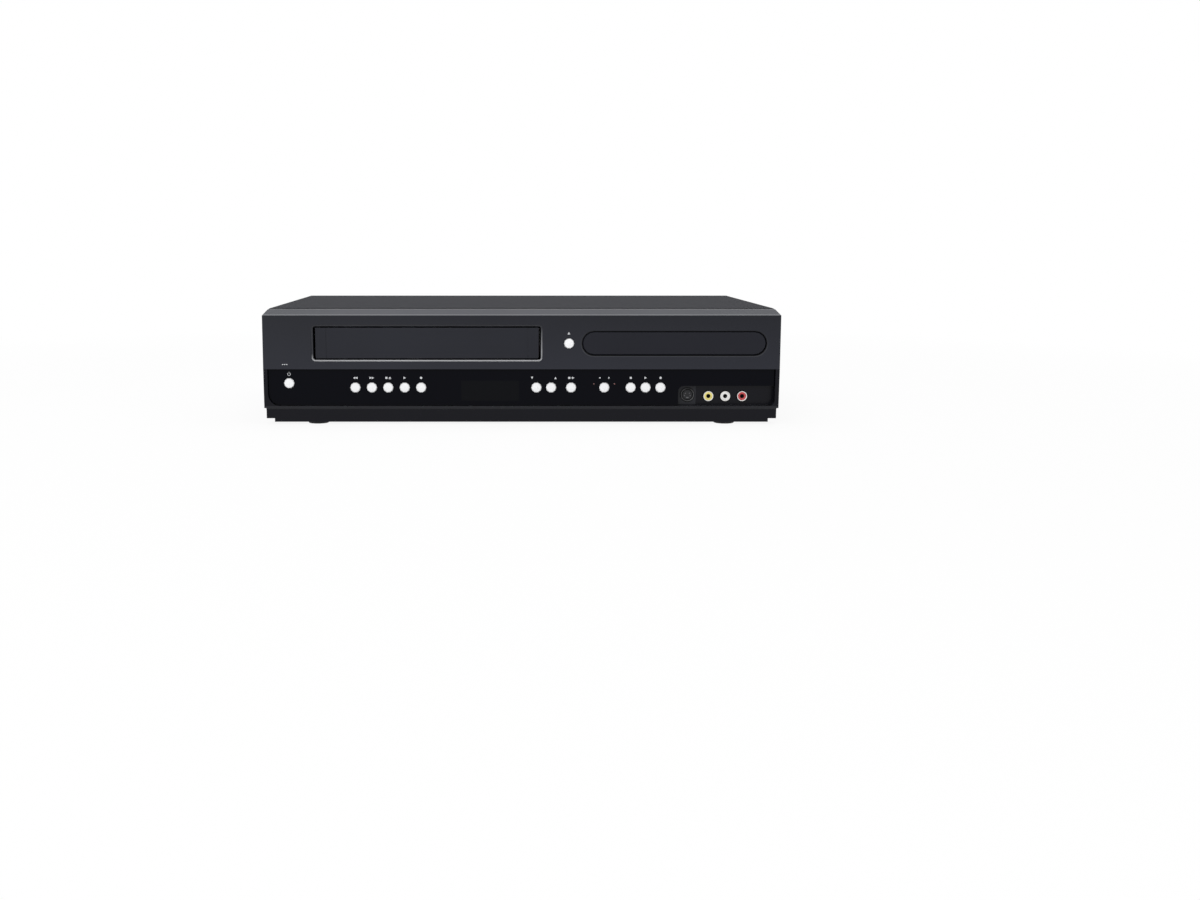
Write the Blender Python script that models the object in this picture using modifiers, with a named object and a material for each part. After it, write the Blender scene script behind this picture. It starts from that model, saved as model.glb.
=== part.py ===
"""A disc recorder and video cassette recorder in one housing: disc tray right, cassette door left.

Lengths are metres. +X is the viewer's right, +Y runs from the front to the back, and Z is 0 on the shelf.
A depth counts backwards from the front face. Run it with blender --background --python part.py.
"""

import math

import bmesh
import bpy
from mathutils import Matrix, Vector

# Whole body
BODY_WIDTH = 0.435
BODY_HEIGHT = 0.097
BODY_DEPTH = 0.261
JACK_REACH = 0.009
SHEET = 0.001
WALL = 0.0025
SEAT_GAP = 0.0003
OVERRUN = 0.004
JOIN_LAP = 0.0005
FRONT_Y = -(BODY_DEPTH + JACK_REACH) / 2

# Front panel, a moulded shell open at the back
PANEL_DEPTH = 0.020
PANEL_STEP_DOWN = 0.0005
PANEL_END_WALL = 0.0045
PANEL_FLOOR_WALL = 0.0022
CHAMFER_RISE = 0.0046
CHAMFER_RUN = 0.008
END_CHAMFER = 0.0036
FACE_LEAN = 0.0012
UPPER_WALL = 0.004
SKIRT_BOTTOM = 0.002
SKIRT_SET_BACK = 0.0015
SKIRT_END_INSET = 0.0085
SKIRT_END_RISE = 0.003
LIP_BOTTOM = 0.0126
LIP_TOP = 0.0155
LIP_SET_BACK = 0.0004
LIP_ROUND = 0.0012
LOWER_SIDE_INSET = 0.0016
UPPER_FACE_BOTTOM = 0.0468

# Recess for the control window, and the deeper one for the front sockets
RECESS_SIDE = 0.0034
RECESS_DEPTH = 0.005
RECESS_ROUND_LEFT = 0.010
RECESS_ROUND_RIGHT = 0.005
SOCKET_BAY_LEFT_INSET = 0.0845
SOCKET_BAY_HEIGHT = 0.0165
SOCKET_BAY_DEPTH = 0.009
WINDOW_THICKNESS = 0.0015
WINDOW_EDGE_GAP = 0.0004

# Push buttons
BUTTON_RADIUS = 0.0043
BUTTON_HOLE_GAP = 0.0004
BUTTON_PROUD = 0.0014
BUTTON_DOME = 0.0003
BUTTON_RIM = 0.0007
BUTTON_FLANGE_REACH = 0.0012
BUTTON_FLANGE_THICKNESS = 0.001
BUTTON_STEM_RADIUS = 0.0016
EJECT_BUTTON_PROUD = 0.0005
BUTTON_TRAVEL = 0.0008
BUTTON_ROW_HEIGHT = 0.0310
POWER_BUTTON_FROM_LEFT = 0.0212
POWER_BUTTON_HEIGHT = 0.0347
TAPE_BUTTONS_FROM_LEFT = 0.0771
TAPE_BUTTON_PITCH = 0.0139
CHANNEL_BUTTONS_FROM_RIGHT = 0.2048
CHANNEL_BUTTON_PITCH = 0.0124
DUBBING_BUTTON_FROM_RIGHT = 0.1755
SOURCE_BUTTON_FROM_RIGHT = 0.1474
DISC_BUTTONS_FROM_RIGHT = 0.1251
DISC_BUTTON_PITCH = 0.0126
EJECT_BUTTON_FROM_RIGHT = 0.1775
EJECT_BUTTON_HEIGHT = 0.0684

# Board behind the buttons
FRONT_BOARD_DEPTH = 0.0170
BOARD_THICKNESS = 0.0016
FRONT_BOARD_LEFT_INSET = 0.0065
FRONT_BOARD_RIGHT_INSET = 0.0135
FRONT_BOARD_BOTTOM = 0.0080
FRONT_BOARD_TOP = 0.0430
FRONT_BOARD_TONGUE_WIDTH = 0.0160
FRONT_BOARD_TONGUE_TOP = 0.0760
SWITCH_SIDE = 0.0060
SWITCH_BODY = 0.0035
SWITCH_PLUNGER = 0.0010
SWITCH_PLUNGER_RADIUS = 0.0015
BOARD_POST_RADIUS = 0.0025
BOARD_POST_HEIGHT = 0.0190
BOARD_POSTS_FROM_LEFT = (0.0375, 0.1225)
BOARD_POSTS_FROM_RIGHT = (0.1875, 0.1055)

# Clock display behind the window
DISPLAY_FROM_LEFT = 0.1910
DISPLAY_HEIGHT = 0.0283
DISPLAY_WIDTH = 0.0500
DISPLAY_TALL = 0.0180
DISPLAY_TUBE = 0.0030
DISPLAY_BEZEL = 0.0025

# Cassette door and mouth
DOOR_FROM_LEFT = 0.1380
DOOR_SPARE_WIDTH = 0.0006
DOOR_BOTTOM = 0.0558
DOOR_SPARE_TALL = 0.0007
DOOR_SET_BACK = 0.0012
DOOR_THICKNESS = 0.0018
DOOR_SIDE_GAP = 0.0020
DOOR_EDGE_GAP = 0.0012
DOOR_RIB = 0.0005
DOOR_RIB_INSET = 0.0090
MOUTH_ROUND = 0.0020
MOUTH_CHAMFER = 0.0013
DOOR_PIVOT_DEPTH = 0.0080
DOOR_PIVOT_HEIGHT = 0.0865
DOOR_PIN_RADIUS = 0.0012
DOOR_ARM_RADIUS = 0.0019
DOOR_ARM_THICKNESS = 0.0020
DOOR_ARM_DROP = 0.0045
DOOR_ARM_INSET = 0.0006
CHEEK_THICKNESS = 0.0022
CHEEK_MARGIN = 0.0030
CHEEK_GAP = 0.0004
DOOR_PIN_GAP = 0.0003
MOUTH_FLOOR_REACH = 0.0120

# Disc tray and its front
TRAY_FROM_RIGHT = 0.0891
TRAY_FRONT_WIDTH = 0.1540
TRAY_FRONT_TALL = 0.0192
TRAY_FRONT_HEIGHT = 0.0685
TRAY_FRONT_SET_BACK = 0.0009
TRAY_FRONT_THICKNESS = 0.0028
TRAY_FRONT_EDGE = 0.0006
TRAY_MOUTH_GAP = 0.0006
TRAY_WIDTH = 0.1420
TRAY_END_MARGIN = 0.0020
TRAY_BOTTOM = 0.0650
TRAY_TOP = 0.0715
TRAY_TRAVEL = 0.1400
TRAY_CORNER = 0.0040
TRAY_RELIEF = 0.0040
TRAY_RELIEF_WALL = 0.0110
DISC_CENTRE_DEPTH = 0.0780
DISC_WELL_RADIUS = 0.0605
DISC_WELL_DEPTH = 0.0025
SMALL_WELL_RADIUS = 0.0405
SMALL_WELL_DEPTH = 0.0010
SPINDLE_SLOT_RADIUS = 0.0180
SPINDLE_SLOT_LENGTH = 0.0620

# Rack under the tray and the gear that drives it
GEAR_MODULE = 0.0015
GEAR_TEETH = 14
GEAR_BACKLASH = 0.00025
GEAR_PRESSURE_DEGREES = 20.0
GEAR_ROOT_SHARE = 1.2
GEAR_TIP_SHARE = 0.9
GEAR_DEPTH = 0.0260
GEAR_THICKNESS = 0.0040
GEAR_BORE = 0.0018
RACK_OFFSET = 0.0480
RACK_TALL = 0.0030
RACK_BACK = 0.0030
RACK_FRONT_DEPTH = 0.0140
RACK_OVERLAP = 0.0100

# Disc loader
LOADER_WIDTH = 0.1480
LOADER_FRONT_DEPTH = 0.0080
LOADER_END_MARGIN = 0.0120
LOADER_FLOOR = 0.0460
LOADER_WALL = 0.0024
LOADER_FLOOR_THICKNESS = 0.0020
LOADER_TOP = 0.0752
LEDGE_WIDTH = 0.0034
LEDGE_THICKNESS = 0.0025
LOADER_LEG = 0.0060
LOADER_FRONT_LEG_DEPTH = 0.0300
BRIDGE_LENGTH = 0.0420
BRIDGE_THICKNESS = 0.0014
BRIDGE_HOLE_RADIUS = 0.0120
BRIDGE_RIB = 0.0015
CLAMPER_NECK_GAP = 0.0006
CLAMPER_FLANGE = 0.0030
CLAMPER_TOP_THICKNESS = 0.0016
CLAMPER_BOTTOM_THICKNESS = 0.0014
CLAMPER_FLOAT = 0.0008
TRAVERSE_LENGTH = 0.1120
TRAVERSE_WIDTH = 0.0640
TRAVERSE_FRONT_MARGIN = 0.0240
TRAVERSE_BOTTOM = 0.0520
TRAVERSE_THICKNESS = 0.0020
TRAVERSE_POST_INSET = 0.0060
TRAVERSE_OPENING_WIDTH = 0.0480
SPINDLE_MOTOR_RADIUS = 0.0120
SPINDLE_MOTOR_TALL = 0.0030
TURNTABLE_RADIUS = 0.0145
TURNTABLE_THICKNESS = 0.0018
TURNTABLE_NOSE_RADIUS = 0.0074
TURNTABLE_NOSE_TIP = 0.0050
TURNTABLE_NOSE_TALL = 0.0026
SLED_RAIL_RADIUS = 0.0013
SLED_RAIL_SPREAD = 0.0190
SLED_WIDTH = 0.0440
SLED_LENGTH = 0.0220
SLED_TALL = 0.0050
SLED_RAIL_CLEARANCE = 0.0003
SLED_TRAVEL = 0.0330
SLED_FRONT_GAP = 0.0020
SLED_END_GAP = 0.0070
LENS_RADIUS = 0.0030
LENS_TALL = 0.0012
SLED_NECK = 0.0060

# Tape deck and what stands on it
DECK_FRONT_DEPTH = 0.0320
DECK_END_MARGIN = 0.0020
DECK_SIDE_MARGIN = 0.0030
DECK_BOTTOM = 0.0260
DECK_THICKNESS = 0.0020
DECK_LEG_RADIUS = 0.0040
DECK_LEG_INSET = 0.0080
DECK_HOLE_GAP = 0.0004
REEL_SPREAD = 0.0460
REEL_DEPTH = 0.0900
REEL_FLANGE_RADIUS = 0.0140
REEL_FLANGE_THICKNESS = 0.0025
REEL_HUB_RADIUS = 0.0060
REEL_HUB_TALL = 0.0130
REEL_TIP_RADIUS = 0.0035
REEL_FIN_TALL = 0.0090
REEL_FIN_WIDTH = 0.0016
REEL_FIN_REACH = 0.0022
REEL_FIN_COUNT = 6
REEL_PIN_RADIUS = 0.0015
DRUM_DEPTH = 0.1860
DRUM_RADIUS = 0.0310
DRUM_TILT_DEGREES = 5.97
DRUM_LOWER_TALL = 0.0150
DRUM_UPPER_TALL = 0.0180
DRUM_SPLIT = 0.0004
DRUM_CENTRE_HEIGHT = 0.0490
DRUM_RECESS_RADIUS = 0.0200
DRUM_RECESS_DEPTH = 0.0040
DRUM_SHAFT_RADIUS = 0.0030
DRUM_SHAFT_PROUD = 0.0030
DRUM_FOOT_SIDE = 0.0520
DRUM_RAMP_REACH = 0.0012
CAPSTAN_OFFSET = 0.0600
CAPSTAN_DEPTH = 0.1640
CAPSTAN_SHAFT_RADIUS = 0.0020
CAPSTAN_TOP = 0.0540
FLYWHEEL_RADIUS = 0.0180
FLYWHEEL_THICKNESS = 0.0060
FLYWHEEL_GAP = 0.0006
PINCH_PIVOT_OFFSET = 0.0820
PINCH_PIVOT_DEPTH = 0.1830
PINCH_ARM_LENGTH = 0.0210
PINCH_LIFT = 0.0010
PINCH_ARM_WIDTH = 0.0080
PINCH_ARM_THICKNESS = 0.0020
PINCH_ROLLER_RADIUS = 0.0060
PINCH_ROLLER_TALL = 0.0160
PINCH_ARM_AIM_DEGREES = 253.0

# Cassette carriage between its side plates
CASSETTE_WIDTH = 0.1870
CASSETTE_TALL = 0.0250
CARRIAGE_SIDE_GAP = 0.0013
CARRIAGE_TOP_GAP = 0.0005
CARRIAGE_FRONT_DEPTH = 0.0410
CARRIAGE_LENGTH = 0.0600
CARRIAGE_FLOOR_DROP = 0.0007
CARRIAGE_LEDGE = 0.0220
CARRIAGE_STOP = 0.0080
CARRIAGE_WINDOW_LENGTH = 0.0300
CARRIAGE_WINDOW_WIDTH = 0.0900
CARRIAGE_TRAVEL = 0.0470
CARRIAGE_DROP = 0.0210
CARRIAGE_PIN_RADIUS = 0.0020
CARRIAGE_PIN_SPREAD = 0.0340
SIDE_PLATE_GAP = 0.0020
SIDE_PLATE_TOP = 0.0870
SIDE_PLATE_FRONT_MARGIN = 0.0020
SIDE_PLATE_END_MARGIN = 0.0080
CROSS_BAR_LENGTH = 0.0160
CROSS_BAR_FOLD = 0.0040

# Base pan, cover and rear panel
PAN_BOTTOM = 0.0040
PAN_FRONT_FLANGE = 0.0100
PAN_SIDE_FLANGE = 0.0140
PAN_RIB_WIDTH = 0.0060
PAN_RIB_TALL = 0.0010
PAN_RIB_SPREAD = 0.0700
COVER_INSET = 0.0020
COVER_SIDE_BOTTOM = 0.0052
COVER_FLANGE = 0.0086
COVER_EDGE_ROUND = 0.0018
VENT_COUNT = 12
VENT_WIDTH = 0.0028
VENT_TALL = 0.0180
VENT_PITCH = 0.0070
VENT_END_DEPTH = 0.2350
VENT_HEIGHT = 0.0560
NOTCH_FROM_RIGHT = 0.0938
NOTCH_BASE_WIDTH = 0.0298
NOTCH_TOP_WIDTH = 0.0219
NOTCH_TALL = 0.0036
BOARD_LEVEL = 0.0124
STANDOFF_RADIUS = 0.0030
STANDOFF_INSET = 0.0060

# Cooling fan and its slots
FAN_FROM_RIGHT = 0.1932
FAN_HEIGHT = 0.0576
FAN_SIDE = 0.0600
FAN_THICKNESS = 0.0150
FAN_BORE_RADIUS = 0.0285
FAN_CORNER = 0.0040
FAN_SCREW_SPREAD = 0.0246
FAN_SCREW_HOLE_RADIUS = 0.0017
FAN_HUB_RADIUS = 0.0130
FAN_BLADE_RADIUS = 0.0275
FAN_BLADE_COUNT = 7
FAN_BLADE_THICKNESS = 0.0012
FAN_BLADE_PITCH_DEGREES = 38.0
FAN_BLADE_CHORD = 0.0120
FAN_STRUT_WIDTH = 0.0030
FAN_STRUT_THICKNESS = 0.0020
FAN_ROTOR_GAP = 0.0006
SLOT_RING_RADII = (0.0154, 0.0210, 0.0263)
SLOT_HALF_WIDTH = 0.0014
SLOT_COUNT = 8
SLOT_STEPS = 3
SLOT_SPAN_DEGREES = (21.0, 25.0, 27.0)
SLOT_TURN_DEGREES = (8.0, 3.0, -3.0)

# Rear sockets, on a grid of columns and rows
RCA_PITCH = 0.0150
RCA_LOW_ROW = 0.0250
RCA_BARREL_RADIUS = 0.0042
RCA_SLEEVE = 0.0008
RCA_FACE_STEP = 0.0005
RCA_PIN_HOLE_RADIUS = 0.0017
RCA_PIN_HOLE_DEPTH = 0.0080
RCA_BLOCK_WIDTH = 0.0120
RCA_BLOCK_DEPTH = 0.0140
RCA_BLOCK_MARGIN = 0.0070
COAX_FROM_LEFT = 0.1525
AUDIO_OUT_FROM_LEFT = 0.1370
SVIDEO_OUT_FROM_LEFT = 0.1205
COMPONENT_FROM_LEFT = 0.1017
SVIDEO_IN_FROM_LEFT = 0.0835
AV_IN_FROM_LEFT = 0.0645
AV_OUT_FROM_LEFT = 0.0478
SVIDEO_ROW = 0.0211
SVIDEO_RADIUS = 0.0062
SVIDEO_PROUD = 0.0010
SVIDEO_GROOVE_OUTER = 0.0049
SVIDEO_GROOVE_INNER = 0.0042
SVIDEO_GROOVE_DEPTH = 0.0035
SVIDEO_BLOCK_DEPTH = 0.0110
SVIDEO_BLOCK_SIDE = 0.0130
FRONT_RCA_FROM_RIGHT = 0.0588
FRONT_RCA_PITCH = 0.0143
FRONT_RCA_HEIGHT = 0.0234
FRONT_RCA_PROUD = 0.0035
FRONT_SVIDEO_FROM_RIGHT = 0.0763
FRONT_SVIDEO_HEIGHT = 0.0243
FRONT_SVIDEO_RADIUS = 0.0058
HDMI_FROM_RIGHT = 0.0936
HDMI_HEIGHT = 0.0855
HDMI_WIDTH = 0.0150
HDMI_TALL = 0.0056
HDMI_SHELL = 0.0004
HDMI_CORNER = 0.0018
HDMI_TONGUE = 0.0010
HDMI_TONGUE_INSET = 0.0015
HDMI_LENGTH = 0.0110
HDMI_MOUTH_DEPTH = 0.0080
HDMI_PROUD = 0.0004
INLET_FROM_RIGHT = 0.0189
INLET_HEIGHT = 0.0666
INLET_WIDTH = 0.0158
INLET_TALL = 0.0123
INLET_RIM = 0.0012
INLET_WALL = 0.0010
INLET_LENGTH = 0.0170
INLET_MOUTH_DEPTH = 0.0120
INLET_CORNER = 0.0020
INLET_PIN_RADIUS = 0.0011
INLET_PIN_SPREAD = 0.0033
INLET_PIN_LENGTH = 0.0090
HOLE_GAP = 0.0005

# Boards inside
MAIN_BOARD_LEFT_INSET = 0.0095
MAIN_BOARD_RIGHT_INSET = 0.2075
MAIN_BOARD_FRONT_DEPTH = 0.1500
BOARD_END_GAP = 0.0010
LEG_HOLE_GAP = 0.0015
POWER_BOARD_LEFT_INSET = 0.1575
POWER_BOARD_RIGHT_INSET = 0.0105
POWER_BOARD_FRONT_GAP = 0.0060
POWER_BOARD_LENGTH = 0.0450
TRANSFORMER_SIZE = (0.0360, 0.0300, 0.0300)
CAPACITOR_RADIUS = 0.0110
CAPACITOR_TALL = 0.0300
HEATSINK_SIZE = (0.0300, 0.0030, 0.0280)
DIGITAL_BOARD_LEFT_INSET = 0.1623
DIGITAL_BOARD_RIGHT_INSET = 0.0159
DIGITAL_BOARD_FRONT_DEPTH = 0.1080
CHIP_SIDE = 0.0280
CHIP_TALL = 0.0020

# Feet
FRONT_FOOT_FROM_RIGHT = 0.0442
FRONT_FOOT_DEPTH = 0.0125
FRONT_FOOT_RADIUS = 0.0095
REAR_FOOT_FROM_RIGHT = 0.0375
REAR_FOOT_END_GAP = 0.0300
REAR_FOOT_RADIUS = 0.0160
FOOT_STUD_RADIUS = 0.0020
FOOT_STUD_PROUD = 0.0030
FOOT_EDGE = 0.0006

WIDE = 36
FINE = 20
MEDIUM = 14
SMALL = 10
SHARP_DEGREES = 35.0
FLAT_DEGREES = 0.5
ARC_STEPS = 4


def depth(distance):
    """World Y of a point this far behind the front face."""
    return FRONT_Y + distance


# Places that several pieces share
LEFT_END = -BODY_WIDTH / 2
RIGHT_END = BODY_WIDTH / 2
BOARD_POST_XS = [LEFT_END + x for x in BOARD_POSTS_FROM_LEFT] + [
    RIGHT_END - x for x in BOARD_POSTS_FROM_RIGHT
]
POWER_BUTTON_X = LEFT_END + POWER_BUTTON_FROM_LEFT
TAPE_BUTTONS_X = LEFT_END + TAPE_BUTTONS_FROM_LEFT
DOOR_X = LEFT_END + DOOR_FROM_LEFT
DISPLAY_X = LEFT_END + DISPLAY_FROM_LEFT
FRONT_BOARD_LEFT = LEFT_END + FRONT_BOARD_LEFT_INSET
AUDIO_OUT_X = LEFT_END + AUDIO_OUT_FROM_LEFT
COAX_X = LEFT_END + COAX_FROM_LEFT
SVIDEO_OUT_X = LEFT_END + SVIDEO_OUT_FROM_LEFT
COMPONENT_X = LEFT_END + COMPONENT_FROM_LEFT
SVIDEO_IN_X = LEFT_END + SVIDEO_IN_FROM_LEFT
AV_IN_X = LEFT_END + AV_IN_FROM_LEFT
AV_OUT_X = LEFT_END + AV_OUT_FROM_LEFT
MAIN_BOARD_LEFT = LEFT_END + MAIN_BOARD_LEFT_INSET
MAIN_BOARD_RIGHT = LEFT_END + MAIN_BOARD_RIGHT_INSET
CHANNEL_BUTTONS_X = RIGHT_END - CHANNEL_BUTTONS_FROM_RIGHT
DUBBING_BUTTON_X = RIGHT_END - DUBBING_BUTTON_FROM_RIGHT
SOURCE_BUTTON_X = RIGHT_END - SOURCE_BUTTON_FROM_RIGHT
DISC_BUTTONS_X = RIGHT_END - DISC_BUTTONS_FROM_RIGHT
EJECT_BUTTON_X = RIGHT_END - EJECT_BUTTON_FROM_RIGHT
SOCKET_BAY_LEFT = RIGHT_END - SOCKET_BAY_LEFT_INSET
FRONT_BOARD_RIGHT = RIGHT_END - FRONT_BOARD_RIGHT_INSET
TRAY_X = RIGHT_END - TRAY_FROM_RIGHT
FAN_X = RIGHT_END - FAN_FROM_RIGHT
INLET_X = RIGHT_END - INLET_FROM_RIGHT
HDMI_X = RIGHT_END - HDMI_FROM_RIGHT
NOTCH_X = RIGHT_END - NOTCH_FROM_RIGHT
FRONT_RCA_X = RIGHT_END - FRONT_RCA_FROM_RIGHT
FRONT_SVIDEO_X = RIGHT_END - FRONT_SVIDEO_FROM_RIGHT
POWER_BOARD_LEFT = RIGHT_END - POWER_BOARD_LEFT_INSET
POWER_BOARD_RIGHT = RIGHT_END - POWER_BOARD_RIGHT_INSET
DIGITAL_BOARD_LEFT = RIGHT_END - DIGITAL_BOARD_LEFT_INSET
DIGITAL_BOARD_RIGHT = RIGHT_END - DIGITAL_BOARD_RIGHT_INSET
FRONT_FOOT_X = RIGHT_END - FRONT_FOOT_FROM_RIGHT
REAR_FOOT_X = RIGHT_END - REAR_FOOT_FROM_RIGHT
DOOR_WIDTH = CASSETTE_WIDTH + DOOR_SPARE_WIDTH
DOOR_TOP = DOOR_BOTTOM + CASSETTE_TALL + DOOR_SPARE_TALL
DECK_END_DEPTH = DRUM_DEPTH + DRUM_RADIUS + DECK_END_MARGIN
RACK_END_DEPTH = GEAR_DEPTH + TRAY_TRAVEL + RACK_OVERLAP
TRAY_END_DEPTH = RACK_END_DEPTH + TRAY_END_MARGIN
LOADER_END_DEPTH = TRAY_END_DEPTH + LOADER_END_MARGIN
POWER_BOARD_FRONT_DEPTH = LOADER_END_DEPTH + POWER_BOARD_FRONT_GAP
TRAVERSE_OPENING_LENGTH = SLED_LENGTH + SLED_TRAVEL + SLED_END_GAP
PANEL_TOP = BODY_HEIGHT - PANEL_STEP_DOWN
CHAMFER_FOOT = PANEL_TOP - CHAMFER_RISE
SKIRT_HALF = BODY_WIDTH / 2 - SKIRT_END_INSET
COVER_HALF = BODY_WIDTH / 2 - COVER_INSET
COVER_FRONT = depth(PANEL_DEPTH + SEAT_GAP)
COVER_REAR = depth(BODY_DEPTH)
REAR_PANEL_OUT = COVER_REAR - SHEET - SEAT_GAP
REAR_PANEL_IN = REAR_PANEL_OUT - SHEET
INSIDE_HALF = COVER_HALF - SHEET - SEAT_GAP
INSIDE_END = REAR_PANEL_IN - SEAT_GAP
PAN_TOP = PAN_BOTTOM + SHEET
PAN_FRONT = depth(PANEL_DEPTH + SEAT_GAP)
RECESS_HALF = BODY_WIDTH / 2 - RECESS_SIDE
SOCKET_BAY_TOP = LIP_TOP + SOCKET_BAY_HEIGHT
WINDOW_BACK = RECESS_DEPTH - SEAT_GAP
WINDOW_FRONT = WINDOW_BACK - WINDOW_THICKNESS
RECESS_WALL_BACK = RECESS_DEPTH + WALL
SOCKET_WALL_BACK = SOCKET_BAY_DEPTH + WALL
BUTTON_HOLE_RADIUS = BUTTON_RADIUS + BUTTON_HOLE_GAP
BUTTON_FLANGE_RADIUS = BUTTON_HOLE_RADIUS + BUTTON_FLANGE_REACH
SWITCH_TIP = FRONT_BOARD_DEPTH - SWITCH_BODY - SWITCH_PLUNGER
MOUTH_HALF = DOOR_WIDTH / 2 + DOOR_SIDE_GAP
MOUTH_BOTTOM = DOOR_BOTTOM - DOOR_EDGE_GAP
MOUTH_TOP = DOOR_TOP + DOOR_EDGE_GAP
CARRIAGE_FLOOR = MOUTH_BOTTOM - CARRIAGE_FLOOR_DROP
DISC_CENTRE_Y = depth(DISC_CENTRE_DEPTH)
TRAY_FRONT_BACK = TRAY_FRONT_SET_BACK + TRAY_FRONT_THICKNESS
RACK_LINE_X = TRAY_X + RACK_OFFSET
GEAR_RADIUS = GEAR_MODULE * GEAR_TEETH / 2
GEAR_X = RACK_LINE_X - GEAR_RADIUS
GEAR_Y = depth(GEAR_DEPTH)
GEAR_PITCH = math.pi * GEAR_MODULE
LOADER_FLOOR_TOP = LOADER_FLOOR + LOADER_FLOOR_THICKNESS
LOADER_INNER_HALF = LOADER_WIDTH / 2 - LOADER_WALL
BRIDGE_BOTTOM = LOADER_TOP + SEAT_GAP
BRIDGE_TOP = BRIDGE_BOTTOM + BRIDGE_THICKNESS
TRAVERSE_FRONT = DISC_CENTRE_Y - TRAVERSE_FRONT_MARGIN
TRAVERSE_END = TRAVERSE_FRONT + TRAVERSE_LENGTH
TRAVERSE_TOP = TRAVERSE_BOTTOM + TRAVERSE_THICKNESS
TRAVERSE_OPENING_FRONT = DISC_CENTRE_Y + SPINDLE_MOTOR_RADIUS + SLED_FRONT_GAP
DIGITAL_BOARD_BOTTOM = HDMI_HEIGHT - HDMI_TALL / 2 - SEAT_GAP - BOARD_THICKNESS
DIGITAL_BOARD_TOP = DIGITAL_BOARD_BOTTOM + BOARD_THICKNESS
DECK_TOP = DECK_BOTTOM + DECK_THICKNESS
CARRIAGE_HALF = CASSETTE_WIDTH / 2 + CARRIAGE_SIDE_GAP
CARRIAGE_CEILING = CARRIAGE_FLOOR + SHEET + CASSETTE_TALL + CARRIAGE_TOP_GAP
CARRIAGE_FRONT = depth(CARRIAGE_FRONT_DEPTH)
CARRIAGE_END = CARRIAGE_FRONT + CARRIAGE_LENGTH
SIDE_PLATE_IN = CARRIAGE_HALF + SHEET + SIDE_PLATE_GAP
DECK_HALF = SIDE_PLATE_IN + SHEET + DECK_SIDE_MARGIN
BOARD_TOP = BOARD_LEVEL + BOARD_THICKNESS
BOARD_END = REAR_PANEL_IN - BOARD_END_GAP
FAN_FRONT = INSIDE_END - FAN_THICKNESS
FRONT_RCA_XS = [FRONT_RCA_X + n * FRONT_RCA_PITCH for n in range(3)]

TO_FRONT = Matrix.Rotation(math.radians(90), 4, "X")
TO_BACK = Matrix.Rotation(math.radians(-90), 4, "X")


# Modelling helpers
def clear_scene():
    """Takes away whatever the file held and makes one collection for the pieces and one for their cutters."""
    for old in list(bpy.data.objects):
        bpy.data.objects.remove(old)
    parts = bpy.data.collections.new("disc_and_tape_player")
    cutters = bpy.data.collections.new("cutters")
    for collection in (parts, cutters):
        bpy.context.scene.collection.children.link(collection)
    return parts, cutters


PARTS, CUTTERS = clear_scene()


def material(name, colour, roughness, metallic=0.0):
    """A Principled material, made once for each name."""
    made = bpy.data.materials.get(name)
    if made is None:
        made = bpy.data.materials.new(name)
        made.use_nodes = True
        shader = made.node_tree.nodes["Principled BSDF"]
        shader.inputs["Base Color"].default_value = (*colour, 1.0)
        shader.inputs["Roughness"].default_value = roughness
        shader.inputs["Metallic"].default_value = metallic
    return made


def satin_black():
    return material("satin_black_plastic", (0.030, 0.031, 0.035), 0.45)


def gloss_black():
    return material("gloss_black_plastic", (0.006, 0.006, 0.007), 0.08)


def dark_plastic():
    return material("dark_plastic", (0.020, 0.020, 0.022), 0.55)


def silver_cap():
    return material("silver_cap", (0.80, 0.80, 0.82), 0.30)


def painted_steel():
    return material("painted_steel", (0.028, 0.028, 0.031), 0.50)


def plated_steel():
    return material("plated_steel", (0.50, 0.56, 0.62), 0.38, 0.6)


def bare_metal():
    return material("bare_metal", (0.60, 0.60, 0.61), 0.30, 1.0)


def circuit_board():
    return material("circuit_board", (0.05, 0.16, 0.08), 0.50)


def rubber():
    return material("rubber", (0.015, 0.015, 0.016), 0.85)


def link(name, mesh, finish):
    made = bpy.data.objects.new(name, mesh)
    PARTS.objects.link(made)
    mesh.materials.append(finish)
    return made


def as_cutter(tool):
    """Moves a helper to the cutters, out of the render."""
    for collection in list(tool.users_collection):
        collection.objects.unlink(tool)
    CUTTERS.objects.link(tool)
    tool.hide_render = True
    tool.display_type = "WIRE"
    return tool


def boolean(target, tool, operation):
    """One live Boolean with the EXACT solver."""
    as_cutter(tool)
    modifier = target.modifiers.new(f"{operation.lower()} {tool.name}", "BOOLEAN")
    modifier.operation = operation
    modifier.object = tool
    return target


def cut(target, *tools):
    for tool in tools:
        boolean(target, tool, "DIFFERENCE")
    return target


def join(target, *tools):
    for tool in tools:
        boolean(target, tool, "UNION")
    return target


def mesh_from(bm, name):
    bmesh.ops.recalc_face_normals(bm, faces=bm.faces)
    mesh = bpy.data.meshes.new(name)
    bm.to_mesh(mesh)
    bm.free()
    return mesh


def box(name, finish, xs, ys, zs):
    """A block between two X, two Y and two Z values."""
    bm = bmesh.new()
    bmesh.ops.create_cube(bm, size=1.0)
    size = Vector((xs[1] - xs[0], ys[1] - ys[0], zs[1] - zs[0]))
    centre = Vector(((xs[0] + xs[1]) / 2, (ys[0] + ys[1]) / 2, (zs[0] + zs[1]) / 2))
    bmesh.ops.transform(bm, matrix=Matrix.Translation(centre) @ Matrix.Diagonal((*size, 1.0)), verts=bm.verts)
    return link(name, mesh_from(bm, name), finish)


def sharpened(mesh):
    """Smooth shading on round walls, with the edges of flat ones kept crisp."""
    mesh.shade_smooth()
    mesh.set_sharp_from_angle(angle=math.radians(SHARP_DEGREES))


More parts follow.
